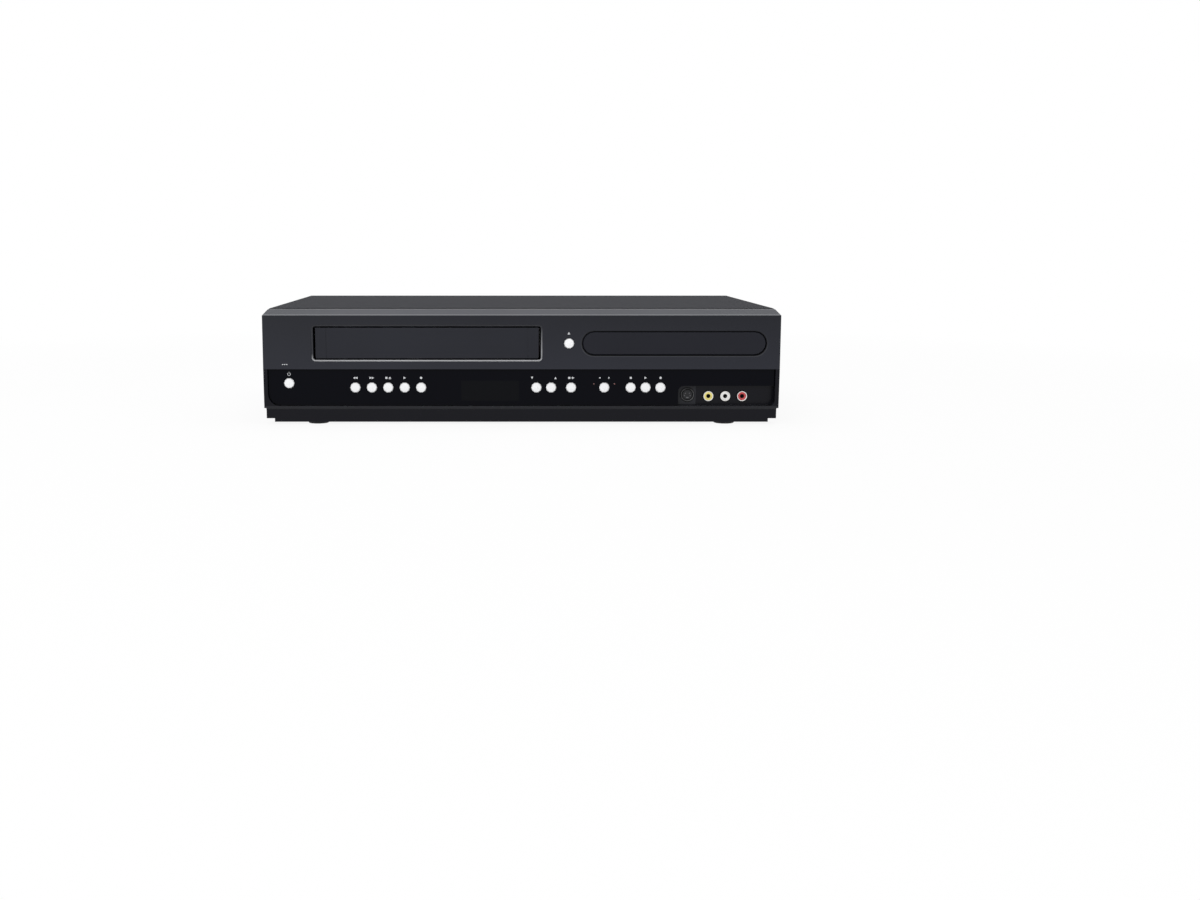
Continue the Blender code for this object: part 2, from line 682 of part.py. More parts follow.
def frozen(source, name, finish):
    """A mesh copy of an object as evaluated, with its caps welded and its flats made whole."""
    bpy.context.view_layer.update()
    graph = bpy.context.evaluated_depsgraph_get()
    mesh = bpy.data.meshes.new_from_object(source.evaluated_get(graph), depsgraph=graph)
    place = source.matrix_world.copy()
    bpy.data.objects.remove(source)
    bm = bmesh.new()
    bm.from_mesh(mesh)
    bmesh.ops.remove_doubles(bm, verts=bm.verts, dist=SEAT_GAP / 100)
    bmesh.ops.dissolve_limit(bm, angle_limit=math.radians(FLAT_DEGREES), verts=bm.verts, edges=bm.edges)
    bmesh.ops.recalc_face_normals(bm, faces=bm.faces)
    bm.to_mesh(mesh)
    bm.free()
    sharpened(mesh)
    mesh.name = name
    mesh.materials.clear()
    made = link(name, mesh, finish)
    made.matrix_world = place
    return made


def turned(name, finish, profile, place, segments=MEDIUM):
    """A solid of revolution. The profile's (radius, height) points run from the top down the outside."""
    mesh = bpy.data.meshes.new(name)
    count = len(profile)
    pairs = [(n, (n + 1) % count) for n in range(count)]
    edges = [pair for pair in pairs if any(profile[n][0] > 0 for n in pair)]
    mesh.from_pydata([(r, 0.0, h) for r, h in profile], edges, [])
    made = link(name, mesh, finish)
    made.matrix_world = place
    screw = made.modifiers.new("turn", "SCREW")
    screw.steps = segments
    screw.render_steps = segments
    screw.use_merge_vertices = True
    screw.merge_threshold = SEAT_GAP / 100
    return frozen(made, name, finish)


def rod(name, finish, radius, length, place, segments=MEDIUM):
    """A plain cylinder from the place's origin along its Z."""
    return turned(name, finish, [(0, length), (radius, length), (radius, 0), (0, 0)], place, segments)


def plate(name, finish, outlines, thickness, place):
    """A flat sheet between local Z 0 and its thickness: first its edge, then the outlines of its holes."""
    curve = bpy.data.curves.new(name, "CURVE")
    curve.dimensions = "2D"
    curve.fill_mode = "BOTH"
    curve.extrude = thickness / 2
    for outline in outlines:
        spline = curve.splines.new("POLY")
        spline.points.add(len(outline) - 1)
        for point, (x, y) in zip(spline.points, outline):
            point.co = (x, y, 0.0, 1.0)
        spline.use_cyclic_u = True
    made = bpy.data.objects.new(name, curve)
    PARTS.objects.link(made)
    made.matrix_world = place @ Matrix.Translation((0, 0, thickness / 2))
    return frozen(made, name, finish)


def at(x=0.0, y=0.0, z=0.0):
    return Matrix.Translation((x, y, z))


def facing_front(x, y, z):
    """Local Z looks at the viewer, and local Y is up."""
    return at(x, y, z) @ TO_FRONT


def facing_back(x, y, z):
    """Local Z looks to the rear."""
    return at(x, y, z) @ TO_BACK


def across(x, y, z):
    """Local X runs backwards, local Y is up, and local Z runs to the right."""
    columns = Matrix(((0, 0, 1, 0), (1, 0, 0, 0), (0, 1, 0, 0), (0, 0, 0, 1)))
    return at(x, y, z) @ columns


def arc(centre, radius, start, end, steps=ARC_STEPS):
    """Points on a circle between two angles in degrees, both ends included."""
    turns = [math.radians(start + (end - start) * n / steps) for n in range(steps + 1)]
    return [(centre[0] + radius * math.cos(t), centre[1] + radius * math.sin(t)) for t in turns]


def circle(centre, radius, segments=MEDIUM):
    return arc(centre, radius, 0, 360, segments)[:-1]


def rounded(xs, zs, radii):
    """A rectangle whose corners, from lower left anticlockwise, have these radii."""
    corners = (
        (xs[0], zs[0], 1, 1, 180),
        (xs[1], zs[0], -1, 1, 270),
        (xs[1], zs[1], -1, -1, 0),
        (xs[0], zs[1], 1, -1, 90),
    )
    points = []
    for (x, z, sx, sz, start), radius in zip(corners, radii):
        if radius:
            points += arc((x + sx * radius, z + sz * radius), radius, start, start + 90)
        else:
            points.append((x, z))
    return points


def rectangle(xs, zs):
    return rounded(xs, zs, (0, 0, 0, 0))


def pill(centre, width, tall, steps=ARC_STEPS * 2):
    """A slot with round ends."""
    reach = (width - tall) / 2
    return arc((centre[0] + reach, centre[1]), tall / 2, -90, 90, steps) + arc(
        (centre[0] - reach, centre[1]), tall / 2, 90, 270, steps
    )


def loft(name, finish, rings, place):
    """A closed skin over outlines of the same count of points. Each ring is (outline, local height)."""
    bm = bmesh.new()
    loops = [[bm.verts.new((x, y, height)) for x, y in outline] for outline, height in rings]
    for low, high in zip(loops, loops[1:]):
        for n in range(len(low)):
            m = (n + 1) % len(low)
            bm.faces.new((low[n], low[m], high[m], high[n]))
    bm.faces.new(loops[0])
    bm.faces.new(loops[-1])
    mesh = mesh_from(bm, name)
    mesh.transform(place)
    return link(name, mesh, finish)


def pivot(made, x, y, z):
    """Puts a moving piece's origin on its joint's axis."""
    made.data.transform(at(-x, -y, -z) @ made.matrix_world)
    made.matrix_world = at(x, y, z)
    return made


def extruded_verts(bm, edges):
    """Draws edges out into faces and gives the new corners, still on top of the old ones."""
    drawn = bmesh.ops.extrude_edge_only(bm, edges=edges)["geom"]
    return [corner for corner in drawn if isinstance(corner, bmesh.types.BMVert)]


def folded(name, finish, path, length, place, thickness=SHEET, hem=None):
    """Sheet metal along an open path in local XY, drawn out along local Z, thick to the left of the path.

    A hem folds it in at local Z 0, as far as the hem's two limits: half a width, and a height.
    """
    bm = bmesh.new()
    points = [bm.verts.new((x, y, 0)) for x, y in path]
    edges = [bm.edges.new(pair) for pair in zip(points, points[1:])]
    bmesh.ops.translate(bm, verts=extruded_verts(bm, edges), vec=(0, 0, length))
    wall = edges[0].link_faces[0]
    if hem:
        for corner in extruded_verts(bm, edges):
            corner.co.x = max(-hem[0], min(hem[0], corner.co.x))
            corner.co.y = min(hem[1], corner.co.y)
        bmesh.ops.remove_doubles(bm, verts=bm.verts, dist=SEAT_GAP / 100)
        bmesh.ops.recalc_face_normals(bm, faces=bm.faces)
    bm.normal_update()
    first = Vector(path[1]) - Vector(path[0])
    if wall.normal.dot(Vector((first.y, -first.x, 0))) < 0:
        bmesh.ops.reverse_faces(bm, faces=bm.faces)
    mesh = bpy.data.meshes.new(name)
    bm.to_mesh(mesh)
    bm.free()
    mesh.transform(place)
    made = link(name, mesh, finish)
    shell = made.modifiers.new("sheet", "SOLIDIFY")
    shell.thickness = thickness
    shell.offset = -1
    shell.use_even_offset = True
    return made


def mirrored(points):
    """The same points on the other side of X 0, in reverse order."""
    return [(-x, z) for x, z in reversed(points)]


def opening(name, xs, ys, zs):
    """A plain block to cut with."""
    return box(name, satin_black(), xs, ys, zs)


def front_hole(name, outlines, start, end):
    """A cutter with this outline between two depths behind the front face."""
    return plate(name, satin_black(), outlines, end - start, facing_front(0, depth(end), 0))


# Outer moulding
def face_depth(height):
    """How far the leaning upper face has gone back at this height."""
    return FACE_LEAN * (height - UPPER_FACE_BOTTOM) / (CHAMFER_FOOT - UPPER_FACE_BOTTOM)


def button_places():
    """Each button's name with its X, height, front depth and the depth behind the wall it sits in."""
    window_front = WINDOW_FRONT - BUTTON_PROUD
    row = {"button_power": (POWER_BUTTON_X, POWER_BUTTON_HEIGHT)}
    tape = ("rewind", "fast_forward", "stop_eject", "play", "record")
    for n, use in enumerate(tape):
        row[f"button_vcr_{use}"] = (TAPE_BUTTONS_X + n * TAPE_BUTTON_PITCH, BUTTON_ROW_HEIGHT)
    for n, use in enumerate(("channel_down", "channel_up")):
        row[f"button_{use}"] = (CHANNEL_BUTTONS_X + n * CHANNEL_BUTTON_PITCH, BUTTON_ROW_HEIGHT)
    row["button_dubbing"] = (DUBBING_BUTTON_X, BUTTON_ROW_HEIGHT)
    row["button_source"] = (SOURCE_BUTTON_X, BUTTON_ROW_HEIGHT)
    for n, use in enumerate(("stop", "play", "record")):
        row[f"button_disc_{use}"] = (DISC_BUTTONS_X + n * DISC_BUTTON_PITCH, BUTTON_ROW_HEIGHT)
    places = {name: (x, z, window_front, RECESS_WALL_BACK) for name, (x, z) in row.items()}
    eject_front = face_depth(EJECT_BUTTON_HEIGHT) - EJECT_BUTTON_PROUD
    places["button_disc_open_close"] = (
        EJECT_BUTTON_X, EJECT_BUTTON_HEIGHT, eject_front, UPPER_WALL + FACE_LEAN
    )
    return places


def panel_outline():
    """The panel from the front, with its stepped bottom corners and cut-off top corners."""
    half = BODY_WIDTH / 2
    side = half - LOWER_SIDE_INSET
    step = SKIRT_BOTTOM + SKIRT_END_RISE
    shoulder = LIP_BOTTOM + LIP_ROUND
    over = half - END_CHAMFER - OVERRUN * END_CHAMFER / CHAMFER_RISE
    right = [(SKIRT_HALF, SKIRT_BOTTOM - OVERRUN), (SKIRT_HALF, step), (side, step), (side, shoulder)]
    right += [(half, shoulder), (half, CHAMFER_FOOT), (over, PANEL_TOP + OVERRUN)]
    return right + mirrored(right)


def window_outline(grow):
    """The control window's edge, which steps up over the front sockets. It grows by this much all round."""
    left, right = -RECESS_HALF - grow, RECESS_HALF + grow
    bottom, top = LIP_TOP - grow, UPPER_FACE_BOTTOM + grow
    step_x, step_z = SOCKET_BAY_LEFT + grow, SOCKET_BAY_TOP - grow
    rounding = RECESS_ROUND_RIGHT
    points = arc((left + RECESS_ROUND_LEFT, bottom + RECESS_ROUND_LEFT), RECESS_ROUND_LEFT, 180, 270)
    points += [(step_x, bottom)]
    points += list(reversed(arc((step_x + rounding, step_z - rounding), rounding, 90, 180)))
    return points + [(right, step_z), (right, top), (left, top)]


def front_panel():
    """The moulded front, hollow from behind."""
    profile = [(PANEL_DEPTH, SKIRT_BOTTOM), (SKIRT_SET_BACK, SKIRT_BOTTOM), (SKIRT_SET_BACK, LIP_BOTTOM)]
    profile += [(LIP_SET_BACK, LIP_BOTTOM + LIP_ROUND), (LIP_SET_BACK, LIP_TOP), (0, UPPER_FACE_BOTTOM)]
    profile += [(FACE_LEAN, CHAMFER_FOOT), (FACE_LEAN + CHAMFER_RUN, PANEL_TOP), (PANEL_DEPTH, PANEL_TOP)]
    length = BODY_WIDTH + OVERRUN * 2
    panel = plate("front_panel", satin_black(), [profile], length, across(-length / 2, FRONT_Y, 0))
    boolean(
        panel, front_hole("panel silhouette", [panel_outline()], -OVERRUN, PANEL_DEPTH + OVERRUN), "INTERSECT"
    )

    wall_back = UPPER_WALL + FACE_LEAN
    end, floor = PANEL_DEPTH + OVERRUN, SKIRT_BOTTOM + SKIRT_END_RISE + PANEL_FLOOR_WALL
    inner = [(end, floor), (RECESS_WALL_BACK, floor), (RECESS_WALL_BACK, UPPER_FACE_BOTTOM + WALL)]
    inner += [(wall_back, UPPER_FACE_BOTTOM + WALL), (wall_back, CHAMFER_FOOT - WALL)]
    inner += [(FACE_LEAN + CHAMFER_RUN + WALL, PANEL_TOP - WALL), (end, PANEL_TOP - WALL)]
    room = BODY_WIDTH - PANEL_END_WALL * 2
    cut(panel, plate("panel hollow", satin_black(), [inner], room, across(-room / 2, FRONT_Y, 0)))
    skirt = SKIRT_HALF - WALL
    back = depth(PANEL_DEPTH + OVERRUN)
    low = SKIRT_BOTTOM + PANEL_FLOOR_WALL
    cut(
        panel,
        opening("skirt hollow", (-skirt, skirt), (depth(SKIRT_SET_BACK + WALL), back), (low, LIP_TOP - WALL)),
    )

    bay_xs = (SOCKET_BAY_LEFT - WALL, RECESS_HALF + JOIN_LAP)
    bay_ys = (depth(RECESS_WALL_BACK - JOIN_LAP), depth(SOCKET_WALL_BACK))
    bay_zs = (LIP_TOP - WALL - JOIN_LAP, SOCKET_BAY_TOP + WALL)
    join(panel, box("socket bay wall", satin_black(), bay_xs, bay_ys, bay_zs))
    join(panel, *door_cheeks(wall_back), mouth_floor(wall_back), *board_posts())

    recess = rounded(
        (-RECESS_HALF, RECESS_HALF),
        (LIP_TOP, UPPER_FACE_BOTTOM),
        (RECESS_ROUND_LEFT, RECESS_ROUND_RIGHT, 0, 0),
    )
    cut(panel, front_hole("window recess", [recess], -OVERRUN, RECESS_DEPTH))
    bay = rounded(
        (SOCKET_BAY_LEFT, RECESS_HALF),
        (LIP_TOP, SOCKET_BAY_TOP),
        (0, RECESS_ROUND_RIGHT, 0, RECESS_ROUND_RIGHT),
    )
    cut(panel, front_hole("socket bay", [bay], RECESS_DEPTH - JOIN_LAP, SOCKET_BAY_DEPTH))
    cut(panel, *mouth_cutters(), *front_socket_holes())
    display_xs = (DISPLAY_X - DISPLAY_WIDTH / 2, DISPLAY_X + DISPLAY_WIDTH / 2)
    display_zs = (DISPLAY_HEIGHT - DISPLAY_TALL / 2, DISPLAY_HEIGHT + DISPLAY_TALL / 2)
    sight = (depth(RECESS_DEPTH - OVERRUN), depth(RECESS_WALL_BACK + OVERRUN / 2))
    cut(panel, opening("display hole", display_xs, sight, display_zs))
    for name, (x, z, front, wall) in button_places().items():
        hole = circle((x, z), BUTTON_HOLE_RADIUS, SMALL)
        cut(panel, front_hole(f"{name} hole", [hole], front - OVERRUN, wall + OVERRUN / 2))
    for side in (-1, 1):
        foot = at(side * FRONT_FOOT_X, depth(FRONT_FOOT_DEPTH), SKIRT_BOTTOM - OVERRUN)
        reach = OVERRUN + PANEL_FLOOR_WALL + OVERRUN
        cut(
            panel,
            rod(f"front foot hole {side}", satin_black(), FOOT_STUD_RADIUS + SEAT_GAP, reach, foot, SMALL),
        )
    return panel


def door_cheeks(wall_back):
    """Two ears behind the top of the cassette mouth that hold the door's pins."""
    cheeks = []
    inner = DOOR_WIDTH / 2 + CHEEK_GAP
    ys = (depth(wall_back - JOIN_LAP), depth(DOOR_PIVOT_DEPTH + CHEEK_MARGIN))
    zs = (MOUTH_TOP + MOUTH_CHAMFER, DOOR_PIVOT_HEIGHT + CHEEK_MARGIN)
    for side in (-1, 1):
        xs = sorted((DOOR_X + side * inner, DOOR_X + side * (inner + CHEEK_THICKNESS)))
        cheek = box(f"door cheek {side}", satin_black(), xs, ys, zs)
        start = at(
            xs[0] - OVERRUN, depth(DOOR_PIVOT_DEPTH), DOOR_PIVOT_HEIGHT
        ) @ Matrix.Rotation(math.radians(90), 4, "Y")
        length = CHEEK_THICKNESS + OVERRUN * 2
        bore = rod(
            f"door pin bore {side}", satin_black(), DOOR_PIN_RADIUS + DOOR_PIN_GAP, length, start, SMALL
        )
        cheeks.append(cut(cheek, bore))
    return cheeks


def mouth_floor(wall_back):
    """The ledge that a cassette slides in on."""
    half = MOUTH_HALF + WALL
    ys = (depth(wall_back - JOIN_LAP), depth(MOUTH_FLOOR_REACH))
    return box(
        "mouth floor", satin_black(), (DOOR_X - half, DOOR_X + half), ys, (MOUTH_BOTTOM - WALL, MOUTH_BOTTOM)
    )


def board_posts():
    """Posts that hold the board behind the buttons."""
    reach = FRONT_BOARD_DEPTH - SEAT_GAP - RECESS_WALL_BACK + JOIN_LAP
    back = depth(FRONT_BOARD_DEPTH - SEAT_GAP)
    return [
        rod(
            f"board post {n}",
            satin_black(),
            BOARD_POST_RADIUS,
            reach,
            facing_front(x, back, BOARD_POST_HEIGHT),
            SMALL,
        )
        for n, x in enumerate(BOARD_POST_XS)
    ]


def mouth_cutters():
    """The cassette mouth with its sloping edge, and the round-ended mouth of the disc tray."""
    xs = (DOOR_X - MOUTH_HALF, DOOR_X + MOUTH_HALF)
    zs = (MOUTH_BOTTOM, MOUTH_TOP)
    radii = (MOUTH_ROUND, MOUTH_ROUND, MOUTH_ROUND, MOUTH_ROUND)
    through = UPPER_WALL + FACE_LEAN + OVERRUN / 2
    mouth = front_hole("cassette mouth", [rounded(xs, zs, radii)], -OVERRUN, through)
    grown = MOUTH_CHAMFER + OVERRUN
    outer = rounded(
        (xs[0] - grown, xs[1] + grown), (zs[0] - grown, zs[1] + grown), [radius + grown for radius in radii]
    )
    foot = MOUTH_CHAMFER + face_depth(MOUTH_TOP)
    rings = [(rounded(xs, zs, radii), 0), (outer, grown)]
    edge = loft("cassette mouth edge", satin_black(), rings, facing_front(0, depth(foot), 0))
    tray_wide, tray_tall = TRAY_FRONT_WIDTH + TRAY_MOUTH_GAP * 2, TRAY_FRONT_TALL + TRAY_MOUTH_GAP * 2
    slot = pill((TRAY_X, TRAY_FRONT_HEIGHT), tray_wide, tray_tall)
    return mouth, edge, front_hole("tray mouth", [slot], -OVERRUN, through)


def front_socket_holes():
    """Holes in the back of the socket bay."""
    holes = []
    for n, x in enumerate(FRONT_RCA_XS):
        ring = circle((x, FRONT_RCA_HEIGHT), RCA_BARREL_RADIUS + HOLE_GAP, SMALL)
        holes.append(
            front_hole(
                f"front socket hole {n}", [ring], SOCKET_BAY_DEPTH - OVERRUN, SOCKET_WALL_BACK + OVERRUN
            ),
        )
    ring = circle((FRONT_SVIDEO_X, FRONT_SVIDEO_HEIGHT), FRONT_SVIDEO_RADIUS + HOLE_GAP, MEDIUM)
    holes.append(
        front_hole("front video hole", [ring], SOCKET_BAY_DEPTH - OVERRUN, SOCKET_WALL_BACK + OVERRUN)
    )
    return holes


def control_window():
    """The glossy lens over the buttons, one sheet with a hole for each of them."""
    holes = [
        circle((x, z), BUTTON_HOLE_RADIUS, SMALL)
        for x, z, _, wall in button_places().values()
        if wall == RECESS_WALL_BACK
    ]
    outlines = [window_outline(-WINDOW_EDGE_GAP), *holes]
    return plate(
        "control_window", gloss_black(), outlines, WINDOW_THICKNESS, facing_front(0, depth(WINDOW_BACK), 0)
    )


def push_buttons():
    """Turned caps with a collar behind the wall and a stem to the switch."""
    for name, (x, z, front, wall) in button_places().items():
        tip = SWITCH_TIP - BUTTON_TRAVEL - SEAT_GAP
        collar = wall + SEAT_GAP
        outline = [(0, front), (BUTTON_RADIUS - BUTTON_RIM, front + BUTTON_DOME)]
        outline += [(BUTTON_RADIUS, front + BUTTON_DOME + BUTTON_RIM), (BUTTON_RADIUS, collar)]
        outline += [(BUTTON_FLANGE_RADIUS, collar), (BUTTON_FLANGE_RADIUS, collar + BUTTON_FLANGE_THICKNESS)]
        outline += [
            (BUTTON_STEM_RADIUS, collar + BUTTON_FLANGE_THICKNESS), (BUTTON_STEM_RADIUS, tip), (0, tip)
        ]
        profile = [(radius, -back) for radius, back in outline]
        turned(name, silver_cap(), profile, facing_front(x, FRONT_Y, z), SMALL)


def front_board():
    """The board that carries the switches, with a tongue up to the disc button."""
    tongue = (EJECT_BUTTON_X - FRONT_BOARD_TONGUE_WIDTH / 2, EJECT_BUTTON_X + FRONT_BOARD_TONGUE_WIDTH / 2)
    outline = [(FRONT_BOARD_LEFT, FRONT_BOARD_BOTTOM), (FRONT_BOARD_RIGHT, FRONT_BOARD_BOTTOM)]
    outline += [
        (FRONT_BOARD_RIGHT, FRONT_BOARD_TOP),
        (tongue[1], FRONT_BOARD_TOP),
        (tongue[1], FRONT_BOARD_TONGUE_TOP),
    ]
    outline += [
        (tongue[0], FRONT_BOARD_TONGUE_TOP), (tongue[0], FRONT_BOARD_TOP), (FRONT_BOARD_LEFT, FRONT_BOARD_TOP)
    ]
    back = depth(FRONT_BOARD_DEPTH + BOARD_THICKNESS)
    board = plate("front_board", circuit_board(), [outline], BOARD_THICKNESS, facing_front(0, back, 0))
    half = SWITCH_SIDE / 2
    for name, (x, z, _, _) in button_places().items():
        ys = (depth(FRONT_BOARD_DEPTH - SWITCH_BODY), depth(FRONT_BOARD_DEPTH) + JOIN_LAP)
        body = box(f"{name} switch", dark_plastic(), (x - half, x + half), ys, (z - half, z + half))
        reach = SWITCH_PLUNGER + JOIN_LAP
        place = facing_front(x, depth(SWITCH_TIP) + reach, z)
        plunger = rod(f"{name} plunger", dark_plastic(), SWITCH_PLUNGER_RADIUS, reach, place, SMALL // 2)
        join(board, join(body, plunger))
    return board


def display_module():
    """The clock display's glass on its holder."""
    front, back = RECESS_WALL_BACK + SEAT_GAP, FRONT_BOARD_DEPTH - SEAT_GAP
    half_wide, half_tall = DISPLAY_WIDTH / 2, DISPLAY_TALL / 2
    glass = rounded(
        (DISPLAY_X - half_wide - DISPLAY_BEZEL, DISPLAY_X + half_wide + DISPLAY_BEZEL),
        (DISPLAY_HEIGHT - half_tall - DISPLAY_BEZEL / 2, DISPLAY_HEIGHT + half_tall + DISPLAY_BEZEL / 2),
        (0, 0, 0, 0),
    )
    tube = plate(
        "display_module",
        dark_plastic(),
        [glass],
        DISPLAY_TUBE,
        facing_front(0, depth(front + DISPLAY_TUBE), 0),
    )
    holder = box(
        "display holder",
        dark_plastic(),
        (DISPLAY_X - half_wide, DISPLAY_X + half_wide),
        (depth(front + DISPLAY_TUBE) - JOIN_LAP, depth(back)),
        (DISPLAY_HEIGHT - half_tall + DISPLAY_BEZEL, DISPLAY_HEIGHT + half_tall - DISPLAY_BEZEL),
    )
    return join(tube, holder)


# Sockets
def barrel(name, place, reach, hole_depth):
    """A phono socket's barrel from its block, with a stepped face and a pin hole, open towards local Z."""
    sleeve = RCA_BARREL_RADIUS - RCA_SLEEVE
    face = reach - RCA_FACE_STEP
    profile = [(sleeve, reach), (RCA_BARREL_RADIUS, face), (RCA_BARREL_RADIUS, -JOIN_LAP), (0, -JOIN_LAP)]
    profile += [
        (0, reach - hole_depth), (RCA_PIN_HOLE_RADIUS, reach - hole_depth), (RCA_PIN_HOLE_RADIUS, face)
    ]
    profile += [(sleeve, face)]
    return turned(name, bare_metal(), profile, place, SMALL)


def jack_column(name, x, heights, proud, floor):
    """One moulded block behind the rear panel, with a barrel for each height."""
    block_half = RCA_BLOCK_WIDTH / 2
    outer = REAR_PANEL_IN - SEAT_GAP
    inner = outer - RCA_BLOCK_DEPTH
    block = box(
        name, dark_plastic(), (x - block_half, x + block_half), (inner, outer), (
            floor, max(heights) + RCA_BLOCK_MARGIN
        )
    )
    for n, z in enumerate(heights):
        reach = SEAT_GAP + SHEET + proud
        join(block, barrel(f"{name} barrel {n}", facing_back(x, outer, z), reach, RCA_PIN_HOLE_DEPTH))
    return block


def mini_din(name, x, z, proud, radius, floor):
    """A round video socket behind the rear panel: a ring groove round a core, in a square block."""
    outer = REAR_PANEL_IN - SEAT_GAP
    inner = outer - SVIDEO_BLOCK_DEPTH
    half = SVIDEO_BLOCK_SIDE / 2
    block = box(name, dark_plastic(), (x - half, x + half), (inner, outer), (floor, z + half))
    reach = SEAT_GAP + SHEET + proud
    profile = [(SVIDEO_GROOVE_OUTER, reach), (radius, reach), (radius, -JOIN_LAP), (0, -JOIN_LAP)]
    profile += [(0, reach), (SVIDEO_GROOVE_INNER, reach), (SVIDEO_GROOVE_INNER, reach - SVIDEO_GROOVE_DEPTH)]
    profile += [(SVIDEO_GROOVE_OUTER, reach - SVIDEO_GROOVE_DEPTH)]
    join(block, turned(f"{name} face", dark_plastic(), profile, facing_back(x, outer, z), MEDIUM))
    return block


def rear_rows(count):
    """Heights of a column of phono sockets, from the lowest up."""
    return [RCA_LOW_ROW + n * RCA_PITCH for n in range(count)]


def rear_columns():
    """Each column of phono sockets on the back, with its X and its heights."""
    return {
        "audio_out_jacks": (AUDIO_OUT_X, rear_rows(2)),
        "component_jacks": (COMPONENT_X, rear_rows(3)),
        "av_in_jacks": (AV_IN_X, rear_rows(3)),
        "av_out_jacks": (AV_OUT_X, rear_rows(3)),
        "coax_jack": (COAX_X, rear_rows(1)),
    }


def rear_sockets():
    """The sockets that stand on the main board and look out through the rear panel."""
    floor = BOARD_TOP + SEAT_GAP
    proud = JACK_REACH + SHEET + SEAT_GAP
    for name, (x, heights) in rear_columns().items():
        jack_column(name, x, heights, proud, floor)
    for name, x in (("svideo_out_jack", SVIDEO_OUT_X), ("svideo_in_jack", SVIDEO_IN_X)):
        mini_din(name, x, SVIDEO_ROW, SVIDEO_PROUD, SVIDEO_RADIUS, floor)


def front_sockets():
    """The three phono sockets and the round video socket in the front bay."""
    wall = depth(SOCKET_WALL_BACK)
    block_depth = FRONT_BOARD_DEPTH - SOCKET_WALL_BACK - SEAT_GAP * 2
    half = RCA_BLOCK_WIDTH / 2
    floor = FRONT_RCA_HEIGHT - half
    ys = (wall + SEAT_GAP, wall + SEAT_GAP + block_depth)
    xs = (FRONT_RCA_XS[0] - half, FRONT_RCA_XS[-1] + half)
    block = box("front_av_jacks", dark_plastic(), xs, ys, (floor, FRONT_RCA_HEIGHT + half))
    reach = SEAT_GAP + WALL + FRONT_RCA_PROUD
    for n, x in enumerate(FRONT_RCA_XS):
        place = facing_front(x, wall + SEAT_GAP, FRONT_RCA_HEIGHT)
        join(block, barrel(f"front barrel {n}", place, reach, RCA_PIN_HOLE_DEPTH))
    side = FRONT_SVIDEO_RADIUS + SEAT_GAP
    face = SVIDEO_GROOVE_DEPTH
    core = box(
        "front_svideo_jack",
        dark_plastic(),
        (FRONT_SVIDEO_X - side, FRONT_SVIDEO_X + side),
        ys,
        (FRONT_SVIDEO_HEIGHT - side, FRONT_SVIDEO_HEIGHT + side),
    )
    reach = SEAT_GAP + WALL + SVIDEO_PROUD
    profile = [(SVIDEO_GROOVE_OUTER, reach), (FRONT_SVIDEO_RADIUS, reach), (FRONT_SVIDEO_RADIUS, -JOIN_LAP)]
    profile += [(0, -JOIN_LAP), (0, reach), (SVIDEO_GROOVE_INNER, reach)]
    profile += [(SVIDEO_GROOVE_INNER, reach - face), (SVIDEO_GROOVE_OUTER, reach - face)]
    place = facing_front(FRONT_SVIDEO_X, wall + SEAT_GAP, FRONT_SVIDEO_HEIGHT)
    join(core, turned("front video face", dark_plastic(), profile, place, MEDIUM))


def hdmi_outline(grow=0.0):
    """The flat socket's shell from outside, with its lower corners cut off."""
    half_wide, half_tall = HDMI_WIDTH / 2 + grow, HDMI_TALL / 2 + grow
    left, right = HDMI_X - half_wide, HDMI_X + half_wide
    bottom, top = HDMI_HEIGHT - half_tall, HDMI_HEIGHT + half_tall
    low = bottom + HDMI_CORNER
    return [
        (left + HDMI_CORNER, bottom),
        (right - HDMI_CORNER, bottom),
        (right, low),
        (right, top),
        (left, top),
        (left, low),
    ]


def hdmi_socket():
    """A sheet shell with a flat tongue inside."""
    front = REAR_PANEL_OUT + HDMI_PROUD - HDMI_LENGTH
    shell = plate(
        "hdmi_socket", bare_metal(), [hdmi_outline()], HDMI_LENGTH, facing_front(0, front + HDMI_LENGTH, 0)
    )
    mouth_end = front + HDMI_LENGTH + OVERRUN
    mouth_place = facing_front(0, mouth_end, 0)
    cut(
        shell,
        plate(
            "flat socket mouth",
            bare_metal(),
            [hdmi_outline(-HDMI_SHELL)],
            HDMI_MOUTH_DEPTH + OVERRUN,
            mouth_place,
        ),
    )
    half = HDMI_WIDTH / 2 - HDMI_TONGUE_INSET - HDMI_SHELL
    ys = (front + HDMI_LENGTH - HDMI_MOUTH_DEPTH - JOIN_LAP, front + HDMI_LENGTH - HDMI_PROUD)
    zs = (HDMI_HEIGHT, HDMI_HEIGHT + HDMI_TONGUE)
    return join(shell, box("flat socket tongue", dark_plastic(), (HDMI_X - half, HDMI_X + half), ys, zs))


